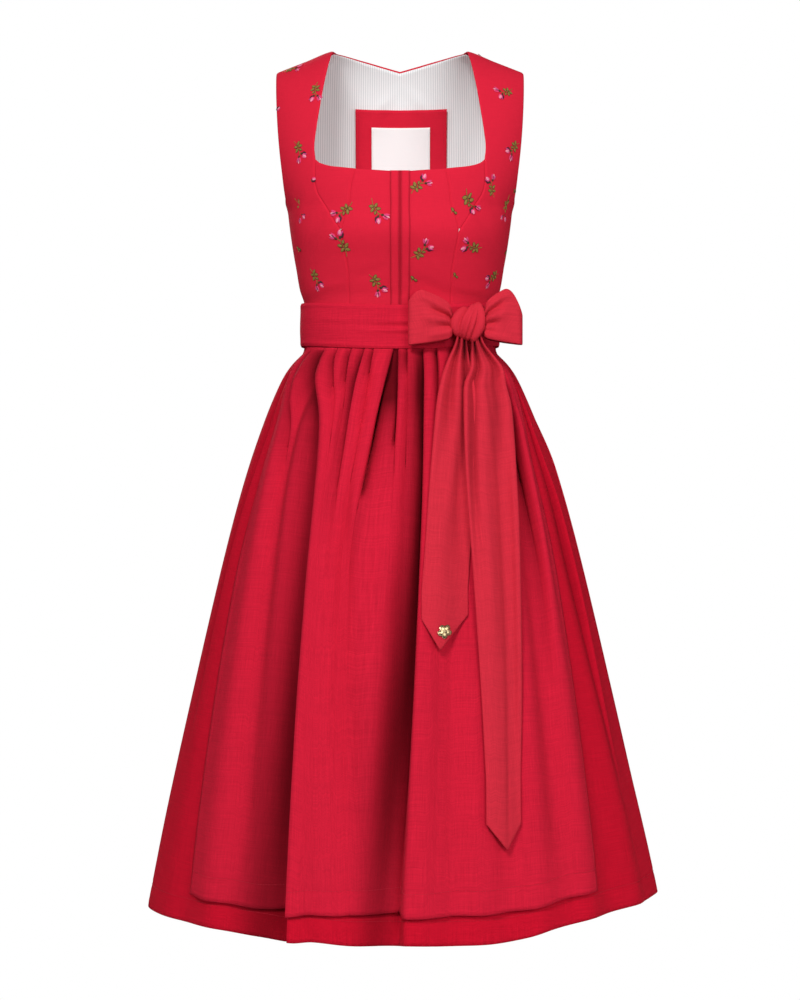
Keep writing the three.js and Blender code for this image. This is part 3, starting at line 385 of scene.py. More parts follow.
def stitched(name, runs, material, length, gap, radius):
    """One mesh of several rows of stitches. A run is a path and its normals."""
    points, faces, start = [], [], 0
    for path, normals in runs:
        spots, sides = thread_run(path, normals, length, gap, radius)
        points.append(spots)
        faces.append(sides + start)
        start += len(spots)
    settle(mesh_piece(name, np.concatenate(points), np.concatenate(faces).tolist(), [material]))


# ------------------------------------------------------------------ materials

def new_group(name, inputs, outputs):
    group = bpy.data.node_groups.new(name, "ShaderNodeTree")
    for label, kind, default in inputs:
        socket = group.interface.new_socket(name=label, in_out="INPUT", socket_type=kind)
        if default is not None:
            socket.default_value = default
    for label, kind in outputs:
        group.interface.new_socket(name=label, in_out="OUTPUT", socket_type=kind)
    return group, group.nodes.new("NodeGroupInput"), group.nodes.new("NodeGroupOutput")


class Wiring:
    """Short ways to place and link nodes in one tree."""

    def __init__(self, tree):
        self.tree = tree

    def put(self, kind, **values):
        node = self.tree.nodes.new(kind)
        for key, value in values.items():
            setattr(node, key, value)
        return node

    def feed(self, socket, value):
        if isinstance(value, bpy.types.NodeSocket):
            self.tree.links.new(value, socket)
        else:
            socket.default_value = value

    def math(self, operation, a, b=None, clamp=False):
        node = self.put("ShaderNodeMath", operation=operation, use_clamp=clamp)
        self.feed(node.inputs[0], a)
        if b is not None:
            self.feed(node.inputs[1], b)
        return node.outputs[0]

    def noise(self, vector, scale=1.0, detail=2.0, rough=0.5):
        node = self.put("ShaderNodeTexNoise")
        values = {"Vector": vector, "Scale": scale, "Detail": detail, "Roughness": rough}
        for label, value in values.items():
            self.feed(node.inputs[label], value)
        return node.outputs["Fac"]

    def ramp(self, value, low, high, to_low=0.0, to_high=1.0):
        node = self.put("ShaderNodeMapRange", clamp=True)
        values = {"Value": value, "From Min": low, "From Max": high, "To Min": to_low, "To Max": to_high}
        for label, number in values.items():
            self.feed(node.inputs[label], number)
        return node.outputs["Result"]

    def combine(self, x, y, z=0.0):
        node = self.put("ShaderNodeCombineXYZ")
        for socket, value in zip(node.inputs, (x, y, z)):
            self.feed(socket, value)
        return node.outputs[0]

    def split(self, vector):
        node = self.put("ShaderNodeSeparateXYZ")
        self.feed(node.inputs[0], vector)
        return node.outputs

    def blend(self, factor, a, b):
        node = self.put("ShaderNodeMix", data_type="RGBA")
        self.feed(node.inputs[0], factor)
        self.feed(node.inputs[6], (*a[:3], 1) if isinstance(a, tuple) else a)
        self.feed(node.inputs[7], (*b[:3], 1) if isinstance(b, tuple) else b)
        return node.outputs[2]

    def place(self, kind):
        """Place along the cloth for UV, and in the object's own metres for OBJECT."""
        if kind == "UV":
            return self.put("ShaderNodeUVMap", uv_map="UVMap").outputs[0]
        return self.put("ShaderNodeTexCoord").outputs["Object"]

    def effect(self, name, where, **numbers):
        """Outputs of a shared node group. Numbers go to the inputs of the same names."""
        group = bpy.data.node_groups.get(name) or EFFECTS[name]()
        node = self.put("ShaderNodeGroup", node_tree=group)
        self.feed(node.inputs["Place"], where)
        for label, number in numbers.items():
            node.inputs[label.replace("_", " ").title()].default_value = number
        return node.outputs

    def relief(self, shader, height, strength, distance):
        node = self.put("ShaderNodeBump")
        for label, value in {"Strength": strength, "Distance": distance, "Height": height}.items():
            self.feed(node.inputs[label], value)
        self.feed(shader.inputs["Normal"], node.outputs[0])


THREAD_CELLS, RARE_CELLS = 0.85, 0.33     # cells of noise to a thread, for its tone and its slubs


def weave_group():
    """Plain weave of uneven threads. Place is in metres along the cloth. Shade is 0 to 1
    about 0.5, Height is in shares of a thread, Nap changes the roughness a little."""
    group, source, sink = new_group(
        "Linen weave",
        [("Place", "NodeSocketVector", None), ("Thread", "NodeSocketFloat", 0.0007),
         ("Slub Length", "NodeSocketFloat", 0.03), ("Slub Strength", "NodeSocketFloat", 0.5)],
        [("Shade", "NodeSocketFloat"), ("Height", "NodeSocketFloat"), ("Nap", "NodeSocketFloat")])
    s = Wiring(group)
    x, y, _ = s.split(source.outputs["Place"])
    per_thread = s.math("DIVIDE", 1.0, source.outputs["Thread"])
    per_slub = s.math("DIVIDE", 1.0, source.outputs["Slub Length"])
    warp_x, warp_y = s.math("MULTIPLY", x, per_thread), s.math("MULTIPLY", y, per_slub)
    weft_x, weft_y = s.math("MULTIPLY", x, per_slub), s.math("MULTIPLY", y, per_thread)

    def both_ways(cells, warp_seed, weft_seed):
        """Places for noise that runs along the warp and along the weft."""
        return (s.combine(s.math("MULTIPLY", warp_x, cells), warp_y, warp_seed),
                s.combine(weft_x, s.math("MULTIPLY", weft_y, cells), weft_seed))

    tones = [s.ramp(s.noise(at, 1.0, 2.0, 0.6), 0.3, 0.7, -0.5, 0.5)
             for at in both_ways(THREAD_CELLS, 0.0, 7.3)]
    slubs = [s.ramp(s.noise(at), 0.66, 0.74) for at in both_ways(RARE_CELLS, 21.0, 33.0)]
    over = s.math("SINE", s.math("MULTIPLY", warp_x, 2 * math.pi))
    under = s.math("SINE", s.math("MULTIPLY", weft_y, 2 * math.pi))
    cells = s.math("MULTIPLY", over, under)
    uneven_tone = s.math("MULTIPLY", s.math("ADD", *tones), source.outputs["Slub Strength"])
    thick = s.math("ADD", uneven_tone, s.math("MULTIPLY", s.math("ADD", *slubs), 0.5))
    fine = s.math("ADD", s.math("MULTIPLY", cells, 0.12), thick)
    s.feed(sink.inputs["Shade"], s.math("ADD", 0.5, s.math("MULTIPLY", fine, 0.5), clamp=True))
    s.feed(sink.inputs["Height"], s.math("ADD", s.math("MULTIPLY", cells, 0.5), thick))
    s.feed(sink.inputs["Nap"], s.ramp(fine, -0.6, 0.6, -0.04, 0.04))
    return group


def mottle_group():
    """Slow uneven tone from dyeing and handling, 0 to 1 about 0.5."""
    group, source, sink = new_group(
        "Dye mottle",
        [("Place", "NodeSocketVector", None), ("Patch Size", "NodeSocketFloat", 0.05)],
        [("Tone", "NodeSocketFloat")])
    s = Wiring(group)
    scale = s.math("DIVIDE", 1.0, source.outputs["Patch Size"])
    s.feed(sink.inputs["Tone"], s.ramp(s.noise(source.outputs["Place"], scale, 4.0), 0.3, 0.7))
    return group


def floss_group():
    """Fine parallel threads along the second part of Place, in metres."""
    group, source, sink = new_group(
        "Embroidery floss",
        [("Place", "NodeSocketVector", None), ("Thread", "NodeSocketFloat", 0.0004)],
        [("Shade", "NodeSocketFloat"), ("Height", "NodeSocketFloat")])
    s = Wiring(group)
    x, y, _ = s.split(source.outputs["Place"])
    across = s.math("DIVIDE", x, source.outputs["Thread"])
    wave = s.math("SINE", s.math("MULTIPLY", across, 2 * math.pi))
    drift = s.noise(s.combine(across, s.math("MULTIPLY", y, 200.0)), 0.7, 1.0)
    s.feed(sink.inputs["Shade"], s.ramp(s.math("ADD", s.math("MULTIPLY", wave, 0.2), drift), 0.2, 0.8))
    s.feed(sink.inputs["Height"], wave)
    return group


EFFECTS = {"Linen weave": weave_group, "Dye mottle": mottle_group, "Embroidery floss": floss_group}


def scaled(colour, share, more=0.0):
    return tuple(min(1.0, part * share + more) for part in colour)


def once(make):
    """Makes a material the first time that its name is asked for."""
    def known_or_new(name, *values, **named):
        return bpy.data.materials.get(name) or make(name, *values, **named)
    return known_or_new


def start_material(name, colour, roughness, sheen, sheen_roughness, sheen_tint, shine=0.25):
    material = bpy.data.materials.new(name)
    material.use_nodes = True
    material.diffuse_color = (*colour, 1)
    shader = material.node_tree.nodes["Principled BSDF"]
    shader.inputs["Roughness"].default_value = roughness
    shader.inputs["Specular IOR Level"].default_value = shine
    shader.inputs["Sheen Weight"].default_value = sheen
    shader.inputs["Sheen Roughness"].default_value = sheen_roughness
    shader.inputs["Sheen Tint"].default_value = (*sheen_tint, 1)
    return material, Wiring(material.node_tree), shader


PAINTED_FOLD_SHADE = (0.09, 0.02, 0.04)     # painted shade at the bottom of a fold: what it keeps of red, green and blue
FOLD_DARKEST = 0.85               # how much of the painted shade shows there
WORN_SHARE = 0.16                 # how much the lighter worn tone shows at most


@once
def woven(name, colour, thread, slub_length, slub, contrast, relief, place="UV",
          roughness=0.9, sheen=0.02):
    """Dyed plain weave, darkened by painted shade where its mesh marks folds and hollows.
    contrast is the difference between its lightest and darkest thread.
    """
    tint = scaled(colour, 0.8, 0.2)
    material, s, shader = start_material(name, colour, roughness, sheen, 0.45, tint, 0.06)
    where = s.place(place)
    weave = s.effect("Linen weave", where, thread=thread, slub_length=slub_length, slub_strength=slub)
    mottle = s.effect("Dye mottle", where)
    light = scaled(colour, 1 + contrast, 0.012 * contrast)
    threads = s.blend(weave["Shade"], scaled(colour, 1 - contrast), light)
    dyed = s.blend(s.ramp(mottle["Tone"], 0, 1, 0.0, WORN_SHARE), threads, scaled(colour, 1.1))
    # painted shade: the base colour darkens towards the painted fold colour by each point's painted shade
    folded = s.put("ShaderNodeAttribute", attribute_name="fold_depth").outputs["Fac"]
    deep = tuple(part * share for part, share in zip(colour, PAINTED_FOLD_SHADE))
    s.feed(shader.inputs["Base Color"], s.blend(s.math("MULTIPLY", folded, FOLD_DARKEST), dyed, deep))
    s.feed(shader.inputs["Roughness"], s.math("ADD", roughness, weave["Nap"]))
    s.relief(shader, weave["Height"], relief, thread * 0.35)
    return material


@once
def striped(name, pale, dark, pitch):
    """Shirt cotton with fine lengthwise stripes."""
    material, s, shader = start_material(name, pale, 0.75, 0.15, 0.5, (0.9, 0.9, 0.9))
    where = s.place("UV")
    wave = s.math("SINE", s.math("MULTIPLY", s.split(where)[0], 2 * math.pi / pitch))
    stripe = s.ramp(wave, -0.25, 0.35)
    weave = s.effect("Linen weave", where, thread=0.0003, slub_length=0.012, slub_strength=0.2)
    cloth = s.blend(stripe, dark, pale)
    shade = s.ramp(weave["Shade"], 0, 1, 0.0, 0.12)
    s.feed(shader.inputs["Base Color"], s.blend(shade, cloth, scaled(pale, 0.8)))
    s.feed(shader.inputs["Roughness"], s.math("ADD", 0.75, weave["Nap"]))
    s.relief(shader, s.math("ADD", weave["Height"], stripe), 0.3, 0.0001)
    return material


@once
def floss(name, colour, place="UV"):
    """Shiny embroidery or sewing thread."""
    material, s, shader = start_material(name, colour, 0.6, 0.03, 0.4, (1, 0.9, 0.9), 0.15)
    twist = s.effect("Embroidery floss", s.place(place))
    tone = s.blend(twist["Shade"], scaled(colour, 0.62), scaled(colour, 1.25, 0.02))
    s.feed(shader.inputs["Base Color"], tone)
    s.relief(shader, twist["Height"], 0.5, 0.0001)
    return material


@once
def gilded(name, colour):
    """Pale gilt metal, a little dulled by handling."""
    material, s, shader = start_material(name, colour, 0.28, 0, 0.5, (1, 1, 1))
    tone = s.effect("Dye mottle", s.place("OBJECT"), patch_size=0.003)["Tone"]
    s.feed(shader.inputs["Base Color"], s.blend(tone, scaled(colour, 0.75), colour))
    s.feed(shader.inputs["Roughness"], s.ramp(tone, 0, 1, 0.22, 0.4))
    shader.inputs["Metallic"].default_value = 1
    return material


def dye(name):
    return tuple(getattr(bpy.context.scene.dirndl_colours, name))


def sizes():
    return bpy.context.scene.dirndl_sizes


def bodice_cloth():
    return woven("Bodice cotton", dye("bodice"), sizes().bodice_thread, 0.014, 0.5, 0.14, 0.35)


def linen(name, colour, slub_length=0.04, slub=0.8, contrast=0.24, relief=0.5, place="UV"):
    return woven(name, dye(colour), sizes().linen_thread, slub_length, slub, contrast, relief, place)


def skirt_linen():
    return linen("Skirt linen", "skirt")


def apron_linen():
    return linen("Apron linen", "apron")


def ribbon_linen():
    return linen("Ribbon linen", "ribbon", contrast=0.2)


def knot_linen():
    return linen("Knot linen", "ribbon", 0.02, 0.5, 0.1, 0.4, "OBJECT")


def red_thread():
    return floss("Red sewing thread", dye("thread"), "OBJECT")


# ------------------------------------------------------------------ bodice

PLACKET_BREAKS = (3,)        # corners of the coarse grids, as rows
FRONT_BREAKS, SIDE_BREAKS = (4,), (4, 7)
SEAM_ROLL, SEAM_ROLL_WIDTH = 0.9, 1.3
EDGE_SHADE_WIDTH = 0.14          # share of a piece's width that the painted shade of an edge fades over


def on_bodice(places, back):
    """Points and outward normals at chart places."""
    angle, level = places[..., 0], places[..., 1]
    return bodice_point(angle, level, back), bodice_normal(angle, level, back)


def bodice_wall(name, node, coarse, back, rows, columns, breaks=(), away=0.0, wall=BODICE_WALL,
                edges=("left", "right"), neck=False, painted_edge_shade=0.0):
    """A piece of bodice cloth over coarse chart places. The last argument paints shade along its two long
    edges.
    """
    rows_at = crowded(rows, len(coarse) - 1, 0.5)
    columns_at = crowded(columns, coarse.shape[1] - 1, 0.85)
    fine = refine(coarse, rows_at, columns_at, breaks)
    if neck:
        fine = exact_neck(fine, rows_at, columns_at, 0)
    point, normal = on_bodice(fine, back)
    lift = np.full(fine.shape[:2], away) if back else away + bodice_crease(point)
    outer = point + normal * lift[..., None]
    outer, inner = rolled(outer, outer - normal * wall, edges, SEAM_ROLL, SEAM_ROLL_WIDTH)
    uv = np.stack([steps_of(outer, 1) + point[:, :1, 0], point[..., 2]], -1)
    share = columns_at / columns_at[-1]
    # painted shade along the two long edges, as in the gaps beside the placket strips
    shade = painted_edge_shade * (bump(share, EDGE_SHADE_WIDTH) + bump(1 - share, EDGE_SHADE_WIDTH))
    piece = cloth_wall(name, outer, inner, bodice_cloth(), uv, np.broadcast_to(shade, lift.shape))
    settle(piece, [node])


# Soft dents and swells of the worn bodice: centre, half lengths along and across its line,
# the line's slope in degrees from level, and how far it moves the cloth.
BODICE_CREASES = table(
    "x z long wide slope move",
    (-104, -236, 34, 7, 62, -1.6), (104, -232, 34, 7, -60, -1.6), (-88, -300, 26, 5, 12, 0.8),
    (92, -306, 24, 5, -8, 0.8), (-36, -286, 24, 6, 20, -0.8), (34, -300, 26, 6, -22, -0.8),
    (-120, -206, 20, 6, 75, 1.2), (122, -204, 20, 6, -75, 1.2), (-40, -196, 22, 8, 80, -0.6),
    (44, -204, 24, 8, -78, -0.6), (-112, -318, 20, 5, 5, -0.8), (14, -246, 24, 6, 86, 0.5))


def bodice_crease(point):
    total = np.zeros(point.shape[:2])
    for x, z, long, wide, slope, move in rows_of(BODICE_CREASES):
        turn = math.radians(slope)
        dx, dz = point[..., 0] - x, point[..., 2] - z
        lengthwise = dx * math.cos(turn) + dz * math.sin(turn)
        across = dz * math.cos(turn) - dx * math.sin(turn)
        total += move * bump(lengthwise, long) * bump(across, wide)
    return total


def front_grids(side):
    """Coarse chart grids of one side's centre front, placket, bust insert and side front."""
    low, high = seam(PRINCESS_LOW, side, False), seam(PRINCESS_HIGH, side, False)
    insert, strap = seam(INSERT_EDGE, side, False), seam(STRAP_EDGE, side, False)
    outer = np.concatenate([low, high[1:]])
    heights = np.linspace(WAIST_SEAM, NECK_FRONT[0][1], len(outer))
    middle, strip = (np.array([chart(x, z, False) for z in heights]) for x in (0, side * PLACKET_WIDTH))
    panel = np.concatenate([middle[:, None], between(strip, outer, 4)], axis=1)
    placket = np.stack([middle, strip], axis=1)[1:]
    placket[0, :, 1] = PLACKET_BOTTOM - ARMPIT

    wedge = between(high, insert, 4)
    wedge[0] = high[0] + (wedge[1] - high[0]) * INSERT_POINT
    wedge[-1] = seam(NECK_FRONT[2:], side, False)
    inner = np.concatenate([low, insert[1:], strap[1:]])
    edge = side_places(len(low) + len(insert) - 2, len(strap) - 1, side)
    return panel, placket, wedge, between(inner, edge, SIDE_COLUMNS + 1)


def back_grids():
    """Coarse chart grids of the left side back, the centre back and the right side back."""
    seams = [seam(BACK_SEAM, side, True) for side in (-1, 1)]
    for places in seams:
        places[-1, 1] = SHOULDER
    shoulder = BACK_SEAM[-1][0]
    top = []
    for x in (-shoulder, *NECK_COLUMNS, shoulder):
        if abs(x) < NECK_HALF_WIDTH:
            top.append(chart(x, along(NECK_BACK, "x", "z", abs(x)), True))
        else:
            top.append([chart(x, 0, True)[0], SHOULDER])
    centre = between(seams[0], seams[1], len(top))
    last = len(centre) - 1
    for r in range(1, last + 1):
        for c in range(1, len(top) - 1):
            centre[r, c, 0] = mix(centre[0, c, 0], top[c][0], (r / last) ** BACK_LEAN)
            centre[r, c, 1] = mix(centre[0, c, 1], top[c][1], r / last)
    left, right = (between(places, side_places(BACK_SEAM_ROWS, last - BACK_SEAM_ROWS, side), SIDE_COLUMNS + 1)
                   for places, side in zip(seams, (-1, 1)))
    return left[:, ::-1], centre, right


def exact_neck(fine, rows_at, columns_at, first):
    """Moves the back's top rows so that the last one is the neck edge itself. first is the
    coarse column where the centre piece starts."""
    shoulder = BACK_SEAM[-1][0]
    across = np.array([-shoulder, *NECK_COLUMNS, shoulder])
    x = np.interp(columns_at - first, np.arange(len(across)), across)
    inside = ((np.abs(x) < NECK_HALF_WIDTH)
              & (columns_at > first) & (columns_at < first + len(across) - 1))
    last = len(BACK_SEAM) - 1
    ease = smooth((rows_at - last + 2) / (rows_at[-1] - last + 2))
    for c in np.flatnonzero(inside):
        wanted = chart(x[c], along(NECK_BACK, "x", "z", abs(x[c])), True)
        fine[:, c] += ease[:, None] * (wanted - fine[-1, c])
    return fine


PLACKET_STITCHED = (0.2, 6)  # rows of the placket's grid that its stitches run between
PLACKET_STITCH_INSET = 1.6


def placket_run(placket, column, side):
    """Path just inside one long edge of a placket strip, for a row of stitches."""
    rows_at = np.linspace(*PLACKET_STITCHED, 120)
    line = refine(placket, rows_at, np.array([column]), PLACKET_BREAKS)[:, 0]
    point, normal = on_bodice(line, False)
    inward = np.cross(normal, unit(np.gradient(point, axis=0))) * -side * (1 - 2 * column)
    lift = LAYER_GAP + PLACKET_WALL + 0.1
    return point + inward * PLACKET_STITCH_INSET + normal * lift, normal


class DIRNDL_OT_bodice_front(bpy.types.Operator):
    """Makes the front's panels, bust inserts and side fronts with the zip's two plackets"""
    bl_idname = "dirndl.bodice_front"
    bl_label = "Bodice Front"

    def execute(self, context):
        runs = []
        for side, suffix in ((-1, "left"), (1, "right")):
            panel, placket, wedge, flank = front_grids(side)
            bodice_wall(f"centre_front_{suffix}", f"bodice_centre_front_{suffix}", panel, False,
                        90, 60, FRONT_BREAKS, edges=("right", "top"))
            bodice_wall(f"placket_strip_{suffix}", f"placket_{suffix}", placket, False,
                        90, 16, PLACKET_BREAKS, away=LAYER_GAP + PLACKET_WALL, wall=PLACKET_WALL,
                        edges=("left", "right", "top"), painted_edge_shade=0.5)
            bodice_wall(f"bust_insert_{suffix}", f"bodice_bust_insert_{suffix}", wedge, False,
                        50, 40, edges=("left", "right", "top"))
            bodice_wall(f"side_front_{suffix}", f"bodice_side_front_{suffix}", flank, False,
                        120, 70, SIDE_BREAKS)
            runs += [placket_run(placket, column, side) for column in (0, 1)]
        stitched("placket_stitches", runs, red_thread(), 2.0, 0.8, 0.2)
        return {"FINISHED"}


class DIRNDL_OT_bodice_back(bpy.types.Operator):
    """Makes the back's centre and its two side pieces"""
    bl_idname = "dirndl.bodice_back"
    bl_label = "Bodice Back"

    def execute(self, context):
        left, centre, right = back_grids()
        breaks = (BACK_SEAM_ROWS,)
        bodice_wall("centre_back", "bodice_centre_back", centre, True, 84, 101, breaks,
                    edges=("left", "right", "top"), neck=True)
        for suffix, grid in (("left", left), ("right", right)):
            bodice_wall(f"side_back_{suffix}", f"bodice_side_back_{suffix}", grid, True, 84, 52, breaks)
        return {"FINISHED"}


# Faint creases of the lining, from the nape down to both sides.
LINING_CREASES = table(
    "x1 z1 x2 z2 move wide",
    (-4, -34, -62, -92, 1.3, 5), (6, -30, 60, -88, 1.3, 5), (-12, -58, -52, -70, -0.9, 4),
    (22, -52, 48, -78, -0.9, 4), (-84, -60, -78, -140, 1.1, 6), (84, -66, 80, -142, 1.1, 6))


def lining_crease(point):
    total = np.zeros(point.shape[:2])
    for x1, z1, x2, z2, move, wide in rows_of(LINING_CREASES):
        dx, dz = x2 - x1, z2 - z1
        t = ((point[..., 0] - x1) * dx + (point[..., 2] - z1) * dz) / (dx * dx + dz * dz)
        near = np.clip(t, 0, 1)
        away = np.hypot(point[..., 0] - x1 - near * dx, point[..., 2] - z1 - near * dz)
        total += move * bump(away, wide) * smooth(1.2 - np.abs(2 * near - 1))
    return total


LINING_SHORT = 0.07          # rows of the coarse grid by which it ends below the outer cloth
LINING_DROP = 1.4            # and how much lower it lies near the top


def lining_layers():
    left, centre, right = back_grids()
    places = np.concatenate([left, centre[:, 1:-1], right], axis=1)
    rows_at = np.linspace(0, len(places) - 1 - LINING_SHORT, 80)
    columns_at = crowded(141, places.shape[1] - 1, 0.2)
    fine = refine(places, rows_at, columns_at, (BACK_SEAM_ROWS,))
    fine = exact_neck(fine, rows_at, columns_at, SIDE_COLUMNS)
    fine[..., 1] -= LINING_DROP * smooth((rows_at - 5) / 2)[:, None]
    point, normal = on_bodice(fine, True)
    outer = point - normal * (BODICE_WALL + LAYER_GAP)
    inner = outer - normal * (LINING_WALL - 0.2 + np.maximum(lining_crease(point), -0.5))[..., None]
    return outer, inner


PATCH = {"left": -57, "right": 60, "top": -60, "bottom": -168, "reach": 5}
LABEL = {"left": -36.5, "right": 38.5, "top": -82, "bottom": -150, "reach": 2}
LAID_ROWS, LAID_COLUMNS = 30, 32
FAR = 400                    # further than any of the cloth


def laid_rectangle(size, below):
    """Face of a rectangle of cloth on the hollow side of a grid of points, bridging its dents."""
    tree = BVHTree.FromPolygons([Vector(p) for p in below.reshape(-1, 3)],
                                grid_faces(*below.shape[:2]).tolist())

    def depth(x, z):
        hit = tree.ray_cast(Vector((x, -FAR, z)), Vector((0, 1, 0)))[0]
        return hit.y if hit else FAR

    xs = np.linspace(size["left"], size["right"], LAID_COLUMNS)
    zs = np.linspace(size["bottom"], size["top"], LAID_ROWS)
    steps = (-size["reach"], 0, size["reach"])
    depths = [[min(depth(x + a, z + b) for a in steps for b in steps) for x in xs] for z in zs]
    grid_x, grid_z = np.meshgrid(xs, zs)
    return np.stack([grid_x, np.array(depths) - LAYER_GAP, grid_z], -1)


def build_rectangle(name, node, size, below, material):
    back = laid_rectangle(size, below)
    front = back - np.array([0, LINING_WALL, 0])
    front, back = rolled(front, back, ("left", "right", "bottom", "top"), 0.4, 1.2)
    piece = cloth_wall(name, front, back, material)
    settle(piece, [node])
    return front


def border_runs(face, inset):
    """Four paths round a grid of points, that far from its edges."""
    across, up = steps_of(face, 1), steps_of(face, 0)
    c0 = int(np.argmin(abs(across[0] - inset)))
    r0 = int(np.argmin(abs(up[:, 0] - inset)))
    c1, r1 = face.shape[1] - 1 - c0, face.shape[0] - 1 - r0
    paths = [face[r0:r1 + 1, c0], face[r0:r1 + 1, c1], face[r0, c0:c1 + 1], face[r1, c0:c1 + 1]]
    out = np.array([0, -1.0, 0])
    return [(path, np.broadcast_to(out, path.shape)) for path in paths]


class DIRNDL_OT_lining(bpy.types.Operator):
    """Makes the back's striped lining, with the neck patch and its bare label"""
    bl_idname = "dirndl.lining"
    bl_label = "Lining, Patch and Label"

    def execute(self, context):
        outer, inner = lining_layers()
        stripes = striped("Striped lining", dye("lining"), dye("stripe"),
                          sizes().stripe_pitch * METRE)
        piece = cloth_wall("striped_back_lining", outer, inner, stripes, inner[..., [0, 2]])
        settle(piece, ["back_lining"])

        patch = build_rectangle("hanger_patch", "neck_patch", PATCH, inner, bodice_cloth())
        white = woven("Label satin", dye("label"), 0.0003, 0.006, 0.2, 0.03, 0.15,
                      roughness=0.6, sheen=0.1)
        label = build_rectangle("bare_label", "neck_label", LABEL, patch, white)
        thread = floss("White sewing thread", dye("label"), "OBJECT")
        stitched("label_stitches", border_runs(label, 2.2), thread, 1.8, 0.7, 0.18)
        stitched("patch_stitches", border_runs(patch, 2.6), red_thread(), 2.2, 0.8, 0.2)
        return {"FINISHED"}


# ------------------------------------------------------------------ skirt and apron

LINE_HEIGHTS = (-376, -470, -650, SKIRT_HEM)
FRONT_FOLDS = table(
    "waist hip knee hem depth rise fall lie full ends side",
    (-118.5, -158, -213, -296, 5, 3, 18, 20, -520, -900, 1),
    (-115, -150, -201, -256, 0, 0, 1, 1, -400, -500, 1),
    (-108, -130, -161, -200, 9, 5, 16, 16, -410, -540, 1),
    (-92, -91, -104, -131, 25, 18, 58, 44, -780, -1500, 1),
    (-75, -78, -94, -106, 6, 3, 10, 8, -384, -440, 1),
    (-58, -71, -90, -97, 6, 2, 10, 8, -384, -430, 1),
    (-42, -60, -82, -84, 10, 7, 15, 14, -420, -620, 1),
    (-31, -46, -71, -71, 5, 2, 8, 8, -384, -420, 1),
    (-9, -30, -60, -58, 10, 4, 18, 14, -415, -660, -1),
    (-1, -4, -14, -40, 8, 4, 16, 12, -410, -560, 1),
    (10, 7, 0, -24, 5, 2, 8, 8, -384, -415, 1),
    (29, 27, 20, -1, 22, 15, 38, 46, -780, -1250, 1),
    (45, 46, 44, 36, 7, 3, 10, 9, -384, -460, 1),
    (63, 62, 60, 56, 7, 4, 12, 12, -400, -560, 1),
    (82, 86, 92, 96, 7, 4, 13, 13, -400, -640, 1),
    (99, 108, 126, 146, 6, 4, 13, 13, -400, -560, 1),
    (111, 135, 169, 200, 14, 6, 22, 18, -470, -800, 1),
    (115, 148, 192, 232, 0, 0, 1, 1, -400, -500, 1),
    (118.5, 159, 209, 300, 10, 4, 22, 20, -640, -960, 1))
APRON_LINES = (1, 17)        # rows of the table above that are the apron's two edges

BACK_FOLD_COUNT, BACK_FOLD_WANDER, BACK_DEEP_EVERY = 17, 0.28, 4
EDGE_HALF, EDGE_GROWTH, EDGE_CROWDING = 1, 0.009, 0.3
FOLDS_START, FOLD_POWER, FOLD_NARROW = -377.5, 0.6, 0.5
APRON_AIR = 3
ARC_STEPS = 1440
GATHER_BOOST, GATHER_TOP, GATHER_LENGTH = 1.0, -400, 130    # sharper gathers below the sash
FOLD_LAP = 0.24              # how far a ridge laps over its valley, as a share of the step
WAIST_SHADE = 0.9            # how much more painted shade the gathers get just below the sash
FULL_SHADE = 22              # depth of a valley that gets the full painted shade
# how far the painted shade drifts into the long folds' valleys below a height, and its width as a share of
# the fall
SHADE_DRIFT, SHADE_DRIFT_TOP, SHADE_WIDTH = 0.05, -600, 0.5
DEEPER = 1.5                 # of the two long folds' valleys
PUFF_SHARE, PUFF_LIMIT = 0.32, 7.5     # of the rounded cloth between two folds
PUFF_FADE = table(
    "z share", (-349, 0), (-376, 0), (-384, 0.5), (-405, 1), (-470, 0.75), (-560, 0.42),
    (-700, 0.2), (-1070, 0.1))

# Uneven rise of the hem: distance from the middle in front, and how much higher it hangs.
HEM_RISE = table(
    "x rise", (-316, 0), (-230, 0), (-160, -2), (-125, -5), (-100, -2), (-55, -4), (-10, -2), (60, -4),
    (110, -5), (150, -1), (180, 5), (215, 9), (260, 13), (316, 14))
HEM_RISE_TOP, STEP_EVEN, APRON_PULL = -880, 0.17, 0.42


def uneven(k):
    """Uneven but repeatable number from -1 to 1."""
    return math.sin(k * 2.4 + 1.1) * 0.6 + math.sin(k * 5.3) * 0.4


def angle_across(x, z):
    half, _, _, square = section(z)
    return np.sign(x) * math.asin(min(1, abs(x) / half) ** (square / 2))


def fold_lines():
    """Every fold line round the skirt: its angle at four heights, and its shape."""
    names = ("depth", "rise", "fall", "lie", "full", "ends", "side")
    flat = dict(zip(names, (0, 0, 1, 1, -400, -500, 1)))
    lines = [{"path": [-np.pi / 2] * 4, **flat}]
    for k in range(len(FRONT_FOLDS["waist"])):
        across = [FRONT_FOLDS[name][k] for name in ("waist", "hip", "knee", "hem")]
        path = [angle_across(x, z) for x, z in zip(across, LINE_HEIGHTS)]
        lines.append({"path": path, **{name: FRONT_FOLDS[name][k] for name in names}})
    lines.append({"path": [np.pi / 2] * 4, **flat})
    spacing = np.pi / (BACK_FOLD_COUNT + 1)
    for k in range(BACK_FOLD_COUNT):
        deep = k % BACK_DEEP_EVERY == 1
        path = [np.pi / 2 + spacing * (k + 1 + BACK_FOLD_WANDER * uneven(k + 0.25 * i))
                for i in range(4)]
        lines.append({
            "path": path,
            "depth": (20 if deep else 8) * (1 + 0.3 * uneven(k + 3)),
            "rise": 13 if deep else 4, "fall": 48 if deep else 14, "lie": 46 if deep else 14,
            "full": -760 if deep else -430, "ends": -1500 if deep else -560 + 90 * uneven(k + 7),
            "side": -1 if deep and k > BACK_FOLD_COUNT / 2 else 1})
    lines.append({"path": [3 * np.pi / 2] * 4, **flat})
    shape = {name: np.array([line[name] for line in lines], float) for name in names}
    return np.array([line["path"] for line in lines]), shape
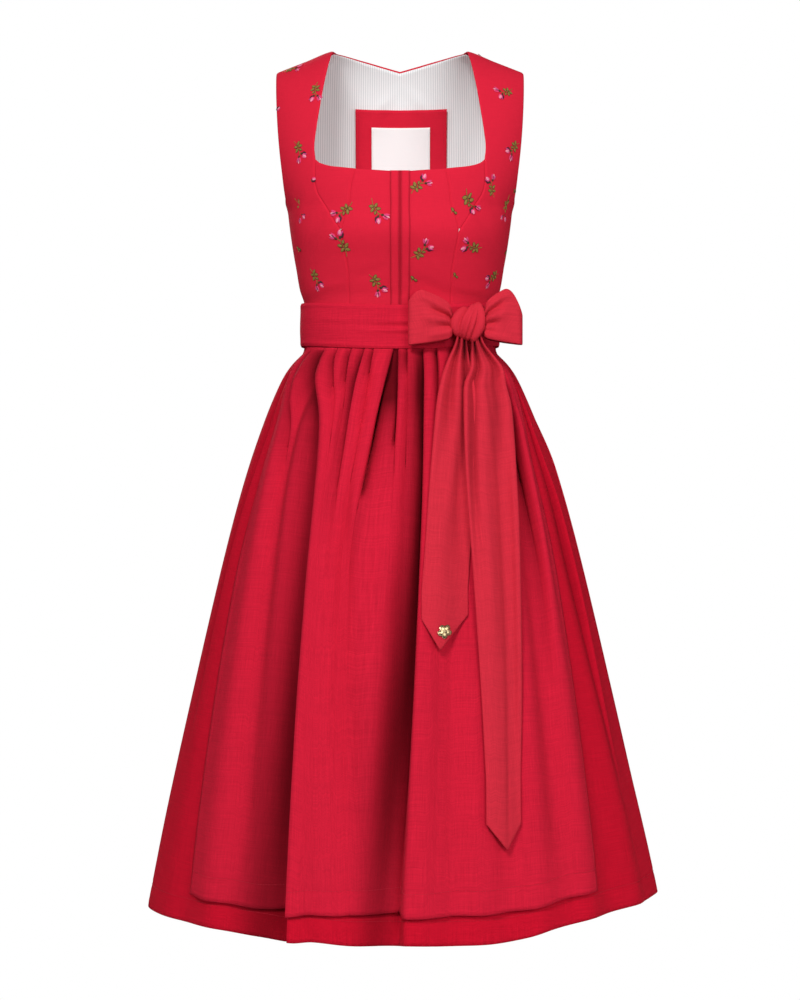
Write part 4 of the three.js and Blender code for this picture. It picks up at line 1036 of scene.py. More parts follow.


# Shallow undulations of the hanging linen between the main folds: distance from the middle
# at the hip and the hem, move, width at the hem, top and bottom.
SOFT_CREASES = table(
    "hip hem move wide top bottom",
    (-152, -262, -5.0, 26, -430, -1120), (-136, -222, 5.0, 22, -400, -1100),
    (-122, -186, -7.0, 24, -400, -1040), (-112, -158, 7.5, 24, -400, -1120),
    (-76, -84, 6.0, 24, -470, -1120), (-60, -52, -6.5, 22, -560, -1120),
    (-44, -26, 5.5, 18, -540, -1000), (-20, -70, -6.5, 20, -420, -780),
    (-12, -34, 6.0, 18, -410, -900), (2, -30, -4.0, 16, -640, -1120),
    (14, -14, 4.0, 12, -400, -720), (34, 26, 5.0, 24, -470, -1120),
    (50, 66, -4.5, 26, -560, -1120), (74, 100, 5.0, 26, -430, -1060),
    (92, 126, -5.5, 24, -520, -1120), (108, 160, 6.5, 24, -430, -1120),
    (122, 192, -7.5, 24, -430, -1040), (134, 222, 6.0, 22, -420, -1100),
    (146, 256, -5.5, 26, -480, -1120), (158, 286, 4.5, 22, -520, -1120))
SOFT_BACK_COUNT = 16


def soft_creases():
    """Angles at the hip and the hem, move, width, top and bottom of every soft crease."""
    rows = []
    names = ("hip", "hem", "move", "wide", "top", "bottom")
    for hip, hem, *rest in zip(*(SOFT_CREASES[name] for name in names)):
        rows.append((angle_across(hip, -470), angle_across(hem, SKIRT_HEM), *rest))
    for k in range(SOFT_BACK_COUNT):
        at = np.pi / 2 + np.pi * (k + 0.5 + 0.3 * uneven(k + 2)) / SOFT_BACK_COUNT
        lean = 0.05 * uneven(k + 9)
        rows.append((at, at + lean, 5.5 * (-1) ** k * (1 + 0.4 * uneven(k + 5)), 24 + 6 * uneven(k),
                     -450 - 60 * abs(uneven(k + 4)), -1000 - 120 * abs(uneven(k + 1))))
    return np.array(rows).T


def skirt_heights():
    top = np.linspace(WAIST_SEAM - 0.3, -450, 33)
    return np.concatenate([top, np.linspace(-450, SKIRT_HEM, 114)[1:]])


STEP_PLACES = (-0.6, -0.2, 0.2, 0.6)     # columns on a fold's edge, as shares of its half width
COLUMN_SPACING = 5.5         # between the columns from fold to fold, at the hem
LONG_FOLD = 18               # depth above which a fold is one of the long deep ones
HIP = -470                   # height that the soft creases lean from
# height and length over which the gathers' extra painted shade fades out
WAIST_SHADE_END, WAIST_SHADE_LENGTH = -480, 70


def skirt_surface():
    """The rows' heights, and by rows and columns the skirt's outside, the level outward
    directions, how far each point moved out and its painted shade. owners says for each column
    which fold line it starts from."""
    heights = skirt_heights()
    paths, shape = fold_lines()
    count = len(paths)
    angles = np.linspace(-np.pi / 2, 3 * np.pi / 2, ARC_STEPS + 1)
    rings = ring_point(angles[None, :], heights[:, None])
    arcs = steps_of(rings, 1)

    level = {"z": np.array(LINE_HEIGHTS, float)}
    line_angles = np.stack([along({**level, "a": path}, "z", "a", heights) for path in paths], 1)
    spots = np.stack([np.interp(line_angles[r], angles, arcs[r]) for r in range(len(heights))])
    free = EDGE_HALF + EDGE_GROWTH * np.maximum(FOLDS_START - heights, 0)[:, None]
    near = np.diff(spots, axis=1)
    near = np.minimum(near[:, :-1], near[:, 1:])
    edge = np.zeros_like(spots)
    edge[:, 1:-1] = np.minimum(free, EDGE_CROWDING * near)
    edge = np.where(shape["depth"] > 0, edge, 0)

    columns, owners = [], []
    hem_gaps = np.diff(spots[-1])
    for k in range(count):
        if shape["depth"][k] > 0:
            for share in STEP_PLACES:
                columns.append(spots[:, k] + edge[:, k] * share)
                owners.append(k)
        if k < count - 1:
            ways = max(3, int(round(hem_gaps[k] / COLUMN_SPACING)))
            for way in np.arange(ways + 1) / ways:
                if way == 1 and shape["depth"][k + 1] == 0 and k + 1 < count - 1:
                    continue
                columns.append(mix(spots[:, k] + edge[:, k], spots[:, k + 1] - edge[:, k + 1], way))
                owners.append(k if way < 1 else k + 1)
    arc = np.stack(columns, 1)

    move = np.zeros_like(arc)
    shift = np.zeros_like(arc)
    sunk = np.zeros_like(arc)
    girth = arcs[:, -1:]
    z = heights[:, None]
    for k in range(count):
        if shape["depth"][k] == 0:
            continue
        gap = arc - spots[:, k:k + 1]
        gap -= np.round(gap / girth) * girth
        full, ends = shape["full"][k], shape["ends"][k]
        grown = np.clip((FOLDS_START - z) / (FOLDS_START - full), 0, 1) ** FOLD_POWER
        faded = smooth((ends - z) / (ends - full))
        width = mix(FOLD_NARROW, 1, grown)
        half = edge[:, k:k + 1]
        t = gap * shape["side"][k]
        valley = np.maximum(0, 1 - np.maximum(0, -t - half) / (shape["fall"][k] * width)) ** 2
        ridge = np.maximum(0, 1 - np.maximum(0, t - half) / (shape["lie"][k] * width)) ** 2
        over = smooth((t + half) / (2 * half))
        gathered = 1 + GATHER_BOOST * (1 - smooth((GATHER_TOP - z) / GATHER_LENGTH))
        deep = shape["depth"][k] * (DEEPER if shape["depth"][k] > LONG_FOLD else 1)
        strength = gathered * grown * faded
        move += strength * mix(-deep * valley, shape["rise"][k] * ridge, over)
        lap = FOLD_LAP * (deep + shape["rise"][k])
        shift += strength * shape["side"][k] * lap * valley * (1 - over)
        # painted shade in this fold's valley, fading over its ridge
        dark = min(1, deep / FULL_SHADE) ** 0.7 * np.minimum(1.25, gathered) * grown ** 0.3 * faded ** 0.6
        dark = dark * (1 + WAIST_SHADE * smooth((z - WAIST_SHADE_END) / WAIST_SHADE_LENGTH))
        inward = SHADE_DRIFT * np.maximum(0, SHADE_DRIFT_TOP - z) * (deep > LONG_FOLD)
        spread = 2 + SHADE_WIDTH * shape["fall"][k] * width
        sunk += dark * bump(np.minimum(0, t + half + inward), spread) * bump(
            np.maximum(0, t + half + inward), 6 + 0.8 * inward) * (1 - 0.85 * over)

    folds = np.flatnonzero(shape["depth"] > 0)
    swell = along(PUFF_FADE, "z", "share", z)
    for k, following in zip(folds, np.roll(folds, -1)):
        start = spots[:, k:k + 1]
        width = (spots[:, following:following + 1] - start) % girth
        way = ((arc - start) % girth) / width
        inside = (way < 1) & (way > 0)
        puff = np.minimum(PUFF_SHARE * width, PUFF_LIMIT) * swell
        move += np.where(inside, puff * np.sin(np.pi * np.clip(way, 0, 1)) ** 0.8, 0)

    for hip, hem, size, wide, top, bottom in soft_creases().T:
        lean = mix(hip, hem, np.clip((HIP - heights) / (HIP - SKIRT_HEM), 0, 1))
        at = np.array([np.interp(lean[r], angles, arcs[r]) for r in range(len(heights))])
        gap = arc - at[:, None]
        gap -= np.round(gap / girth) * girth
        spread = wide * mix(0.35, 1, np.clip((FOLDS_START - z) / (FOLDS_START - SKIRT_HEM), 0, 1))
        fade = smooth((top + 40 - z) / 90) * smooth((z - bottom) / 120 + (bottom < SKIRT_HEM))
        move += size * bump(gap, spread) * fade * sizes().crease_depth

    angle = np.stack([np.interp(arc[r], arcs[r], angles) for r in range(len(heights))])
    out = ring_out(angle, z)
    ahead = np.stack([-out[..., 1], out[..., 0], 0 * move], -1)
    point = ring_point(angle, z) + out * move[..., None] + ahead * shift[..., None]
    low = smooth((HEM_RISE_TOP - z) / (HEM_RISE_TOP - SKIRT_HEM))
    front = np.cos(angle) > 0
    rise = along(HEM_RISE, "x", "rise", point[..., 0])
    behind = np.maximum(point[..., 0], 0) * HEM_RISE["rise"][-1] / HEM_RISE["x"][-1]
    rise = np.where(front, rise, behind)
    point[..., 2] += low * (rise + STEP_EVEN * np.where(front, move, 0))
    return heights, point, out, np.array(owners), move, np.clip(sunk, 0, 1)


SKIRT_MEMORY = {}


def skirt():
    """The skirt's surface, worked out once for the pieces that lie on it."""
    if not SKIRT_MEMORY:
        heights, point, out, owners, move, sunk = skirt_surface()
        normal = grid_normals(point, out)
        SKIRT_MEMORY.update(heights=heights, point=point, out=out, owners=owners, normal=normal,
                            move=move, sunk=sunk)
    return SKIRT_MEMORY


def hung_uv(point):
    """Threads run down the cloth's columns."""
    across = steps_of(point, 1)[-1]
    down = steps_of(point, 0)
    return np.stack([np.broadcast_to(across, down.shape), down], -1)


HEM_DENT, HEM_DENT_WIDTH = 0.5, 2.2      # how far the hem stitches pull the cloth in
STITCH_LIFT = 0.25


def hem_dent(up, at):
    return -HEM_DENT * bump(up - at, HEM_DENT_WIDTH)


def build_skirt_half(name, node, first, last, runs):
    s = skirt()
    part = (slice(None), slice(first, last + 1))
    point, normal = s["point"][part], s["normal"][part]
    down = steps_of(point, 0)
    up = down[-1:] - down
    outer = point + normal * hem_dent(up, sizes().hem_depth)[..., None]
    inner = outer - normal * SKIRT_WALL
    outer, inner = rolled(outer, inner, ("left", "right", "bottom", "top"), 0.5, 2.0)
    piece = cloth_wall(name, outer, inner, skirt_linen(), hung_uv(point), sunk=s["sunk"][part])
    settle(piece, [node])
    row = int(np.argmin(abs(up.mean(1) - sizes().hem_depth)))
    runs.append((outer[row] + normal[row] * STITCH_LIFT, normal[row]))


class DIRNDL_OT_skirt(bpy.types.Operator):
    """Makes the gathered skirt's front and back with their hem stitches"""
    bl_idname = "dirndl.skirt"
    bl_label = "Skirt"

    def execute(self, context):
        owners = skirt()["owners"]
        middle = int(np.searchsorted(owners, len(FRONT_FOLDS["waist"]) + 1))
        runs = []
        build_skirt_half("skirt_front_cloth", "skirt_front", 0, middle, runs)
        build_skirt_half("skirt_back_cloth", "skirt_back", middle, len(owners) - 1, runs)
        stitched("skirt_hem_stitches", runs, red_thread(), 2.3, 1.1, 0.22)
        return {"FINISHED"}


def apron_layer(offset):
    s = skirt()
    first = int(np.searchsorted(s["owners"], APRON_LINES[0] + 1))
    last = int(np.searchsorted(s["owners"], APRON_LINES[1] + 1))
    rows = s["heights"] > APRON_HEM - 1
    part = (rows, slice(first, last + 1))
    point, normal, out = s["point"][part], s["normal"][part], s["out"][part]
    drop = smooth((FOLDS_START - s["heights"][rows]) / (FOLDS_START - APRON_HEM))
    across = steps_of(point, 1)
    inside = smooth(np.minimum(across, across[:, -1:] - across) / 40)
    layer = point + normal * offset + out * (APRON_AIR * drop[:, None] * mix(0.05, 1, inside))[..., None]
    low = smooth((HEM_RISE_TOP - s["heights"][rows]) / (HEM_RISE_TOP - SKIRT_HEM))
    move = s["move"][part]
    layer[..., 2] += low[:, None] * (APRON_PULL * np.maximum(-move, 0) - 0.3 * np.maximum(move, 0))
    return layer, normal, s["sunk"][part]


class DIRNDL_OT_apron(bpy.types.Operator):
    """Makes the apron over the front of the skirt with its side and hem stitches"""
    bl_idname = "dirndl.apron"
    bl_label = "Apron"

    def execute(self, context):
        outer, normal, sunk = apron_layer(LAYER_GAP + SKIRT_WALL)
        down = steps_of(outer, 0)
        up = down[-1:] - down
        depth = sizes().hem_depth
        outer = outer + normal * hem_dent(up, depth)[..., None]
        inner = outer - normal * (SKIRT_WALL - 0.2)
        face, rear = rolled(outer, inner, ("left", "right", "bottom"), 0.4, 2.0)
        piece = cloth_wall("apron_cloth", face, rear, apron_linen(), hung_uv(outer), sunk=sunk)
        settle(piece, ["apron"])
        row = int(np.argmin(abs(up.mean(1) - depth)))
        across = steps_of(outer, 1)[-1]
        runs = [(face[row] + normal[row] * STITCH_LIFT, normal[row])]
        for column in (int(np.argmin(abs(across - 5))), int(np.argmin(abs(across - across[-1] + 5)))):
            runs.append((face[12:row, column] + normal[12:row, column] * 0.2, normal[12:row, column]))
        stitched("apron_stitches", runs, red_thread(), 2.3, 1.1, 0.22)
        return {"FINISHED"}


# ------------------------------------------------------------------ sash

# Level creases of the tightly wound sash: share of its width from the top, move, how wide,
# how much it wanders, and the angles in degrees that it runs between.
SASH_CREASES = table(
    "share move wide wander start end",
    (0.07, 0.5, 0.04, 0.01, -95, 95), (0.42, -0.7, 0.05, 0.05, -60, 20), (0.34, 0.5, 0.08, 0.04, -85, -10),
    (0.5, -1.9, 0.05, 0.04, -22, 32), (0.62, 1.4, 0.07, 0.05, -28, 30), (0.36, 1.3, 0.07, 0.04, -18, 34),
    (0.72, -1.4, 0.05, 0.05, -12, 30), (0.27, -1.2, 0.05, 0.04, -8, 34), (0.93, 0.5, 0.04, 0.01, -95, 60),
    (0.46, -1.5, 0.06, 0.06, 45, 110), (0.3, -1.0, 0.06, 0.05, 100, 200), (0.55, 1.0, 0.08, 0.07, 95, 230),
    (0.68, -1.1, 0.07, 0.08, 150, 265), (0.42, -1.0, 0.06, 0.05, 215, 275), (0.18, 0.7, 0.06, 0.03, 120, 260))


def sash_move(angle, share):
    degrees = np.degrees(angle)
    total = 0.9 * np.sin(np.pi * share)
    for centre, move, wide, wander, start, end in rows_of(SASH_CREASES):
        line = centre + wander * np.sin(np.radians(degrees * 2.3 + 40 * centre * 10))
        fade = smooth((degrees - start) / 22) * smooth((end - degrees) / 22)
        total = total + move * bump(share - line, wide) * fade
    return total


class DIRNDL_OT_sash(bpy.types.Operator):
    """Makes the sash's front and back, with the level creases of its winding"""
    bl_idname = "dirndl.sash"
    bl_label = "Sash"

    def execute(self, context):
        for name, node, start in (("sash_front_cloth", "sash_front", -np.pi / 2),
                                  ("sash_back_cloth", "sash_back", np.pi / 2)):
            angle = np.linspace(start, start + np.pi, 216)[None, :]
            share = crowded(44, 1, 0.5)[:, None]
            dip = SASH_DIP * np.maximum(0, np.cos(angle)) ** 2
            z = SASH_TOP - dip - SASH_WIDTH * share
            point = ring_point(angle, np.maximum(z, FOLDS_START))
            point[..., 2] = z
            out = ring_out(np.broadcast_to(angle, z.shape), z)
            outer = point + out * (SASH_AWAY + SASH_WALL + sash_move(angle, share))[..., None]
            inner = outer - out * SASH_WALL
            outer, inner = rolled(outer, inner, ("top", "bottom"), 0.9, 1.6)
            uv = np.stack([steps_of(outer, 1) + start * 110, z], -1)
            piece = cloth_wall(name, outer, inner, apron_linen(), uv)
            settle(piece, [node])
        return {"FINISHED"}


# ------------------------------------------------------------------ bow

KNOT = {"x": 82, "y": -95.8, "z": -346.5, "half": (18.5, 15, 23.5), "square": 2.5}
LOOP_LEFT = {
    "root": 62.8, "reach": 10.5, "nearRoot": -91, "farRoot": -105, "nearTip": -103, "farTip": -116,
    "rootTop": -331, "rootBottom": -362, "tipTop": -303, "tipBottom": -374, "shoulder": 0.5,
    "cornerFrom": 0.65, "cornerDrop": 18}
LOOP_RIGHT = {
    "root": 101.7, "reach": 148, "nearRoot": -84, "farRoot": -102, "nearTip": -76, "farTip": -93,
    "rootTop": -328, "rootBottom": -363, "tipTop": -296, "tipBottom": -372, "shoulder": 0.55,
    "cornerFrom": 0.5, "cornerDrop": 39}

# Creases of a loop's two layers: place up the width at the root and at the tip, the shares
# of the way out where it starts and ends, move (out is positive), and width.
LOOP_CREASES_LEFT = table(
    "root tip start end move wide",
    (0.60, 0.74, 0.0, 0.62, -5.0, 0.07), (0.78, 0.93, 0.0, 0.9, 3.5, 0.09),
    (0.36, 0.30, 0.0, 0.45, -4.0, 0.08), (0.48, 0.5, 0.05, 0.8, 3.5, 0.12),
    (0.18, 0.1, 0.0, 0.7, 2.5, 0.1))
LOOP_CREASES_RIGHT = table(
    "root tip start end move wide",
    (0.66, 0.82, 0.0, 0.6, -4.0, 0.07), (0.8, 0.95, 0.0, 0.85, 3.0, 0.08),
    (0.40, 0.36, 0.0, 0.5, -4.5, 0.07), (0.52, 0.56, 0.05, 0.75, 3.0, 0.1),
    (0.22, 0.14, 0.0, 0.4, -2.5, 0.07), (0.1, 0.05, 0.0, 0.8, 2.0, 0.08))


def loop_grid(loop, creases):
    """A loop runs from the knot to its tip and back in front of itself."""
    u, v = np.linspace(0, 1, 120)[None, :], np.linspace(0, 1, 48)[:, None]
    out = np.sin(np.pi * u) ** 0.7
    near = mix(loop["nearRoot"], loop["nearTip"], out)
    far = mix(loop["farRoot"], loop["farTip"], out)
    spread = out ** loop["shoulder"]
    corner = np.maximum(0, (out - loop["cornerFrom"]) / (1 - loop["cornerFrom"])) ** 2
    top = mix(loop["rootTop"], loop["tipTop"], spread) - loop["cornerDrop"] * corner
    bottom = mix(loop["rootBottom"], loop["tipBottom"], spread)
    front = smooth((u - 0.3) / 0.4)
    y = mix(near, far, front) + 0 * v
    puff = 3.2 * np.sin(np.pi * np.clip(out, 0, 1)) * np.sin(np.pi * v) * (2 * front - 1)
    y = y - puff
    for root, tip, start, end, move, wide in rows_of(creases):
        line = mix(root, tip, out)
        fade = smooth((out - start) / 0.12 + (start == 0)) * smooth((end - out) / 0.3)
        y = y - move * bump(v - line, wide) * fade * (2 * front - 1)
    x = mix(loop["root"], loop["reach"], out) + 0 * v
    z = mix(bottom, top, v)
    return np.stack([x, y, z], -1)


def ribbon(name, node, grid, outward, held, uv=None, rests_on=(), sunk=None):
    normal = grid_normals(grid, outward)
    outer, inner = grid + normal * RIBBON_WALL / 2, grid - normal * RIBBON_WALL / 2
    outer, inner = rolled(outer, inner, ("bottom", "top", "left", "right"), 0.35, 1.2)
    piece = cloth_wall(name, outer, inner, ribbon_linen(), uv, sunk=sunk)
    settle(piece, [node])
    return outer, normal


# The knot's wrapped strips, seen from the front: where each runs from its upper to its lower
# end (from the knot's middle), how it bows sideways, its half width, thickness and how far
# it stands out.
KNOT_STRIPS = table(
    "x1 z1 x2 z2 bow wide thick out",
    (-3, 17, -11, -14, -7.0, 7.5, 5.6, -0.5), (6, 22, -9, -17, -3.5, 2.9, 3.2, 4.2),
    (9, 23, -5, -19, -1.5, 2.6, 3.0, 5.6), (12, 23, -1, -21, 1.0, 2.6, 3.0, 5.2),
    (12, 23, 5, -21, 6.0, 6.2, 5.4, 2.6), (14, 12, 11, -16, 4.0, 4.4, 4.6, -1.5))


KNOT_ROUNDS = 16


def tube_points(path, side, depth, wide, thick):
    """Rings of an oval tube along a path, closed to a point at both ends."""
    turns = 2 * np.pi * np.arange(KNOT_ROUNDS) / KNOT_ROUNDS
    rings = (path[:, None] + side[:, None] * (np.cos(turns) * 1)[None, :, None] * wide[:, None, None]
             + depth[:, None] * np.sin(turns)[None, :, None] * thick[:, None, None])
    return rings.reshape(-1, 3)


def tube_faces(rings, rounds, start=0):
    ring = np.arange(rounds)
    faces = []
    for r in range(rings - 1):
        a, b = start + r * rounds + ring, start + r * rounds + (ring + 1) % rounds
        faces += np.stack([a, b, b + rounds, a + rounds], -1).tolist()
    faces.append((start + ring[::-1]).tolist())
    faces.append((start + (rings - 1) * rounds + ring).tolist())
    return faces


def build_knot():
    centre = np.array([KNOT["x"], KNOT["y"], KNOT["z"]])
    half = np.array(KNOT["half"])
    points, faces, start = [], [], 0
    t = np.linspace(0, 1, 26)
    for x1, z1, x2, z2, bow, wide, thick, out in rows_of(KNOT_STRIPS):
        arch = np.sin(np.pi * t)
        x, z = mix(x1, x2, t) + bow * arch, mix(z1, z2, t)
        y = -(half[1] - thick + out * 0.6) * arch ** 0.45 * np.sqrt(1 - 0.55 * (x / half[0]) ** 2)
        path = centre + np.stack([x, y, z], -1)
        ahead = unit(np.gradient(path, axis=0))
        side = unit(np.cross(ahead, np.array([0, 1.0, 0])))
        depth = np.cross(side, ahead)
        swell = 0.55 + 0.45 * arch ** 0.6
        points.append(tube_points(path, side, depth, wide * swell, thick * swell))
        faces += tube_faces(len(t), 16, start)
        start += len(t) * 16
    turn, rise = np.meshgrid(np.linspace(0, 2 * np.pi, 33)[:-1], np.linspace(-1.45, 1.45, 18))

    def power(value):
        return np.sign(value) * np.abs(value) ** (2 / KNOT["square"])

    core = np.stack([power(np.cos(turn)) * power(np.cos(rise)), power(np.sin(turn)) * power(np.cos(rise)),
                     power(np.sin(rise))], -1) * half * 0.82
    points.append((centre + core + np.array([0.5, 1.5, 0])).reshape(-1, 3))
    faces += tube_faces(18, 32, start)
    knot = mesh_piece("bow_knot_cloth", np.concatenate(points), faces, [knot_linen()])
    remesh = knot.modifiers.new("Fuse", "REMESH")
    remesh.mode, remesh.voxel_size, remesh.use_smooth_shade = "VOXEL", 0.0008, True
    relax = knot.modifiers.new("Relax", "SMOOTH")
    relax.factor, relax.iterations = 0.5, 3
    bpy.context.view_layer.update()
    fused = bpy.data.meshes.new_from_object(knot.evaluated_get(bpy.context.evaluated_depsgraph_get()))
    knot.modifiers.clear()
    knot.data = fused
    knot.data.shade_smooth()
    if not knot.data.materials:
        knot.data.materials.append(knot_linen())
    settle(knot, ["bow_knot"])


class DIRNDL_OT_bow(bpy.types.Operator):
    """Makes the bow's two creased loops and the wrapped knot between them"""
    bl_idname = "dirndl.bow"
    bl_label = "Bow"

    def execute(self, context):
        for name, node, loop, creases in (
                ("bow_left_cloth", "bow_loop_left", LOOP_LEFT, LOOP_CREASES_LEFT),
                ("bow_right_cloth", "bow_loop_right", LOOP_RIGHT, LOOP_CREASES_RIGHT)):
            grid = loop_grid(loop, creases)
            front = smooth((np.linspace(0, 1, grid.shape[1]) - 0.3) / 0.4)
            outward = np.zeros_like(grid)
            outward[..., 1] = 1 - 2 * front
            outward[..., 0] = 0.4 * np.sign(loop["reach"] - loop["root"])
            ribbon(name, node, grid, outward, "folded")
        build_knot()
        return {"FINISHED"}


TAIL_SHORT = table(
    "z left right",
    (-356, 70, 79), (-372, 66, 81), (-392, 57, 84), (-412, 50, 88), (-441, 44, 92), (-489, 39, 93),
    (-536, 35, 90), (-584, 31.5, 86), (-630, 28, 82), (-665, 25, 79.5))
TAIL_SHORT_TIP = {"left": -698, "right": -694, "point": -734, "across": 46.5}
TAIL_LONG = table(
    "z left right",
    (-356, 85, 96), (-372, 86, 102), (-386, 85, 113), (-401, 84, 124), (-422, 76.5, 128), (-446, 75.5, 134),
    (-485, 76, 137), (-524, 77.5, 138.5), (-583, 81, 141), (-640, 85, 142), (-700, 89, 142.5),
    (-791, 94.5, 142.5), (-882, 99, 140))
TAIL_LONG_TIP = {"left": -932, "right": -934, "point": -963, "across": 124}
# the last is the height in millimetres below which the tails get no painted shadow from the knot
TAIL_CLEARANCE, TAIL_REACH, KNOT_SHADE = 3, 13, 396

# Lengthwise folds of a tail: place across its width at the top and lower down, move (out is
# positive), width, and the height where it has faded.
TAIL_FOLDS_SHORT = table(
    "top low move wide ends", (0.1, 0.04, 4.5, 0.09, -600), (0.34, 0.24, -4.0, 0.09, -520),
    (0.55, 0.46, 4.5, 0.12, -640), (0.78, 0.7, -6.5, 0.1, -560), (0.96, 0.93, 3.0, 0.07, -640))
TAIL_FOLDS_LONG = table(
    "top low move wide ends", (0.08, 0.02, 6.0, 0.06, -700), (0.26, 0.14, -5.5, 0.08, -620),
    (0.48, 0.38, 4.0, 0.14, -760), (0.72, 0.66, -4.5, 0.1, -560), (0.93, 0.93, 3.5, 0.08, -900),
    (0.5, 0.62, -2.0, 0.06, -1000))


def long_away(z):
    return 8 * smooth((-368 - z) / 25) * (1 - smooth((-680 - z) / 130))


def apron_front(x, z, apron):
    """Foremost depth of the apron near a place seen from the front."""
    heights = apron[:, 0, 2]
    r = int(np.clip(np.searchsorted(-heights, -z), 1, len(heights) - 1))
    t = (z - heights[r - 1]) / (heights[r] - heights[r - 1])
    row = mix(apron[r - 1], apron[r], np.clip(t, 0, 1))
    near = np.abs(row[:, 0] - x) < TAIL_REACH
    return row[near, 1].min() if near.any() else 0


def tail_grid(rows, tip, away, folds, hollow, apron):
    """hollow is the edge, 0 or 1 across, that gets the strongest painted shadow under the knot.
    Besides the grid it returns each point's painted shade, in its fold valleys and under the knot.
    """
    end_z = rows["z"][-1]
    across = np.linspace(0, 1, 40)
    left_end, right_end = rows["left"][-1], rows["right"][-1]
    point = (tip["across"] - left_end) / (right_end - left_end)
    lowest = np.where(across < point, mix(tip["left"], tip["point"], across / point),
                      mix(tip["point"], tip["right"], (across - point) / (1 - point)))
    body = np.linspace(rows["z"][0], end_z, 110)
    foot = np.linspace(0, 1, 26)[1:]
    grid = np.zeros((len(body) + len(foot), len(across), 3))
    for r, z in enumerate(body):
        left, right = along(rows, "z", "left", z), along(rows, "z", "right", z)
        grid[r, :, 0], grid[r, :, 2] = mix(left, right, across), z
    for r, share in enumerate(foot, len(body)):
        grid[r, :, 0] = mix(left_end, right_end, across)
        grid[r, :, 2] = mix(end_z, lowest, share)
    depth = np.array([[min(KNOT["y"], apron_front(x, z, apron) - TAIL_CLEARANCE) - away(z)
                       for x, z in row[:, [0, 2]]] for row in grid])
    for _ in range(6):           # the ribbon is stiffer than the folds that it lies on
        padded = np.pad(depth, 2, mode="edge")
        depth = np.mean([padded[a:a + depth.shape[0], b:b + depth.shape[1]]
                         for a in range(5) for b in range(5)], axis=0)
    z = grid[..., 2]
    sunk = np.zeros_like(z)
    names = ("top", "low", "move", "wide", "ends")
    for top, low, move, wide, ends in zip(*(folds[k] for k in names)):
        line = mix(top, low, smooth((rows["z"][0] - z) / 200))
        fade = smooth((z - ends) / 120) * smooth((rows["z"][0] - z) / 18 + 0.4)
        crease = bump(across[None, :] - line, wide) * fade
        depth = depth - move * crease
        # painted shade in the valleys of the tail's folds
        sunk += np.maximum(-move, 0) / 11 * crease
    # painted shadow under the knot, strongest at the hollow edge
    sunk += 0.75 * smooth((z + KNOT_SHADE) / 26) * mix(0.35, 1, bump(across[None, :] - hollow, 0.4))
    grid[..., 1] = depth
    return grid, np.clip(sunk, 0, 1)


# The pendant: a small flower of beaten metal, a plain ornament.
PENDANT = {"x": 52, "z": -712, "petals": 5, "radius": 8.6, "thickness": 1.6}


def build_pendant(face, material):
    rings, rounds = 14, 60
    share = np.linspace(0, 1, rings)[:, None]
    turn = 2 * np.pi * np.arange(rounds)[None, :] / rounds
    lobe = 0.72 + 0.28 * np.abs(np.sin(PENDANT["petals"] * turn / 2))
    radius = PENDANT["radius"] * lobe * share
    dome = PENDANT["thickness"] * (1 - share ** 4) * (0.55 + 0.45 * np.sin(np.pi * share) * lobe)
    dome = dome + 1.3 * bump(share, 0.22)
    flat = face.reshape(-1, 3)
    near = flat[np.hypot(flat[:, 0] - PENDANT["x"], flat[:, 2] - PENDANT["z"]) < PENDANT["radius"]]
    slope = np.polyfit(near[:, 2], near[:, 1], 1)
    lean = np.polyfit(near[:, 0], near[:, 1] - np.polyval(slope, near[:, 2]), 1)
    x, z = PENDANT["x"] + radius * np.sin(turn), PENDANT["z"] + radius * np.cos(turn)
    base = np.polyval(slope, z) + np.polyval(lean, x) - LAYER_GAP - 0.7
    top = np.stack([x, base - 0.3 - dome, z], -1).reshape(-1, 3)
    bottom = np.stack([x, base + 0 * dome, z], -1)[-1]
    ring = np.arange(rounds)
    faces = tube_sides(rings + 1, rounds).tolist()
    faces.append((rings * rounds + ring[::-1]).tolist())
    piece = mesh_piece("flower_pendant", np.concatenate([top, bottom]), faces, [material])
    settle(piece, ["tail_pendant"])


class DIRNDL_OT_tails(bpy.types.Operator):
    """Makes the bow's two hanging tails and the small pendant on the shorter one"""
    bl_idname = "dirndl.tails"
    bl_label = "Tails and Pendant"

    def execute(self, context):
        apron, _, _ = apron_layer(LAYER_GAP + SKIRT_WALL)
        for name, node, rows, tip, away, folds, hollow in (
                ("short_tail_cloth", "bow_tail_short", TAIL_SHORT, TAIL_SHORT_TIP,
                 lambda z: 0, TAIL_FOLDS_SHORT, 1),
                ("long_tail_cloth", "bow_tail_long", TAIL_LONG, TAIL_LONG_TIP,
                 long_away, TAIL_FOLDS_LONG, 0)):
            grid, sunk = tail_grid(rows, tip, away, folds, hollow, apron)
            outward = np.broadcast_to(np.array([0, -1.0, 0]), grid.shape)
            face, _ = ribbon(name, node, grid, outward, "hung", rests_on=["apron_cloth"], sunk=sunk)
            if node == "bow_tail_short":
                build_pendant(face, gilded("Pale gilt", dye("gilt")))
        return {"FINISHED"}


# ------------------------------------------------------------------ embroidery

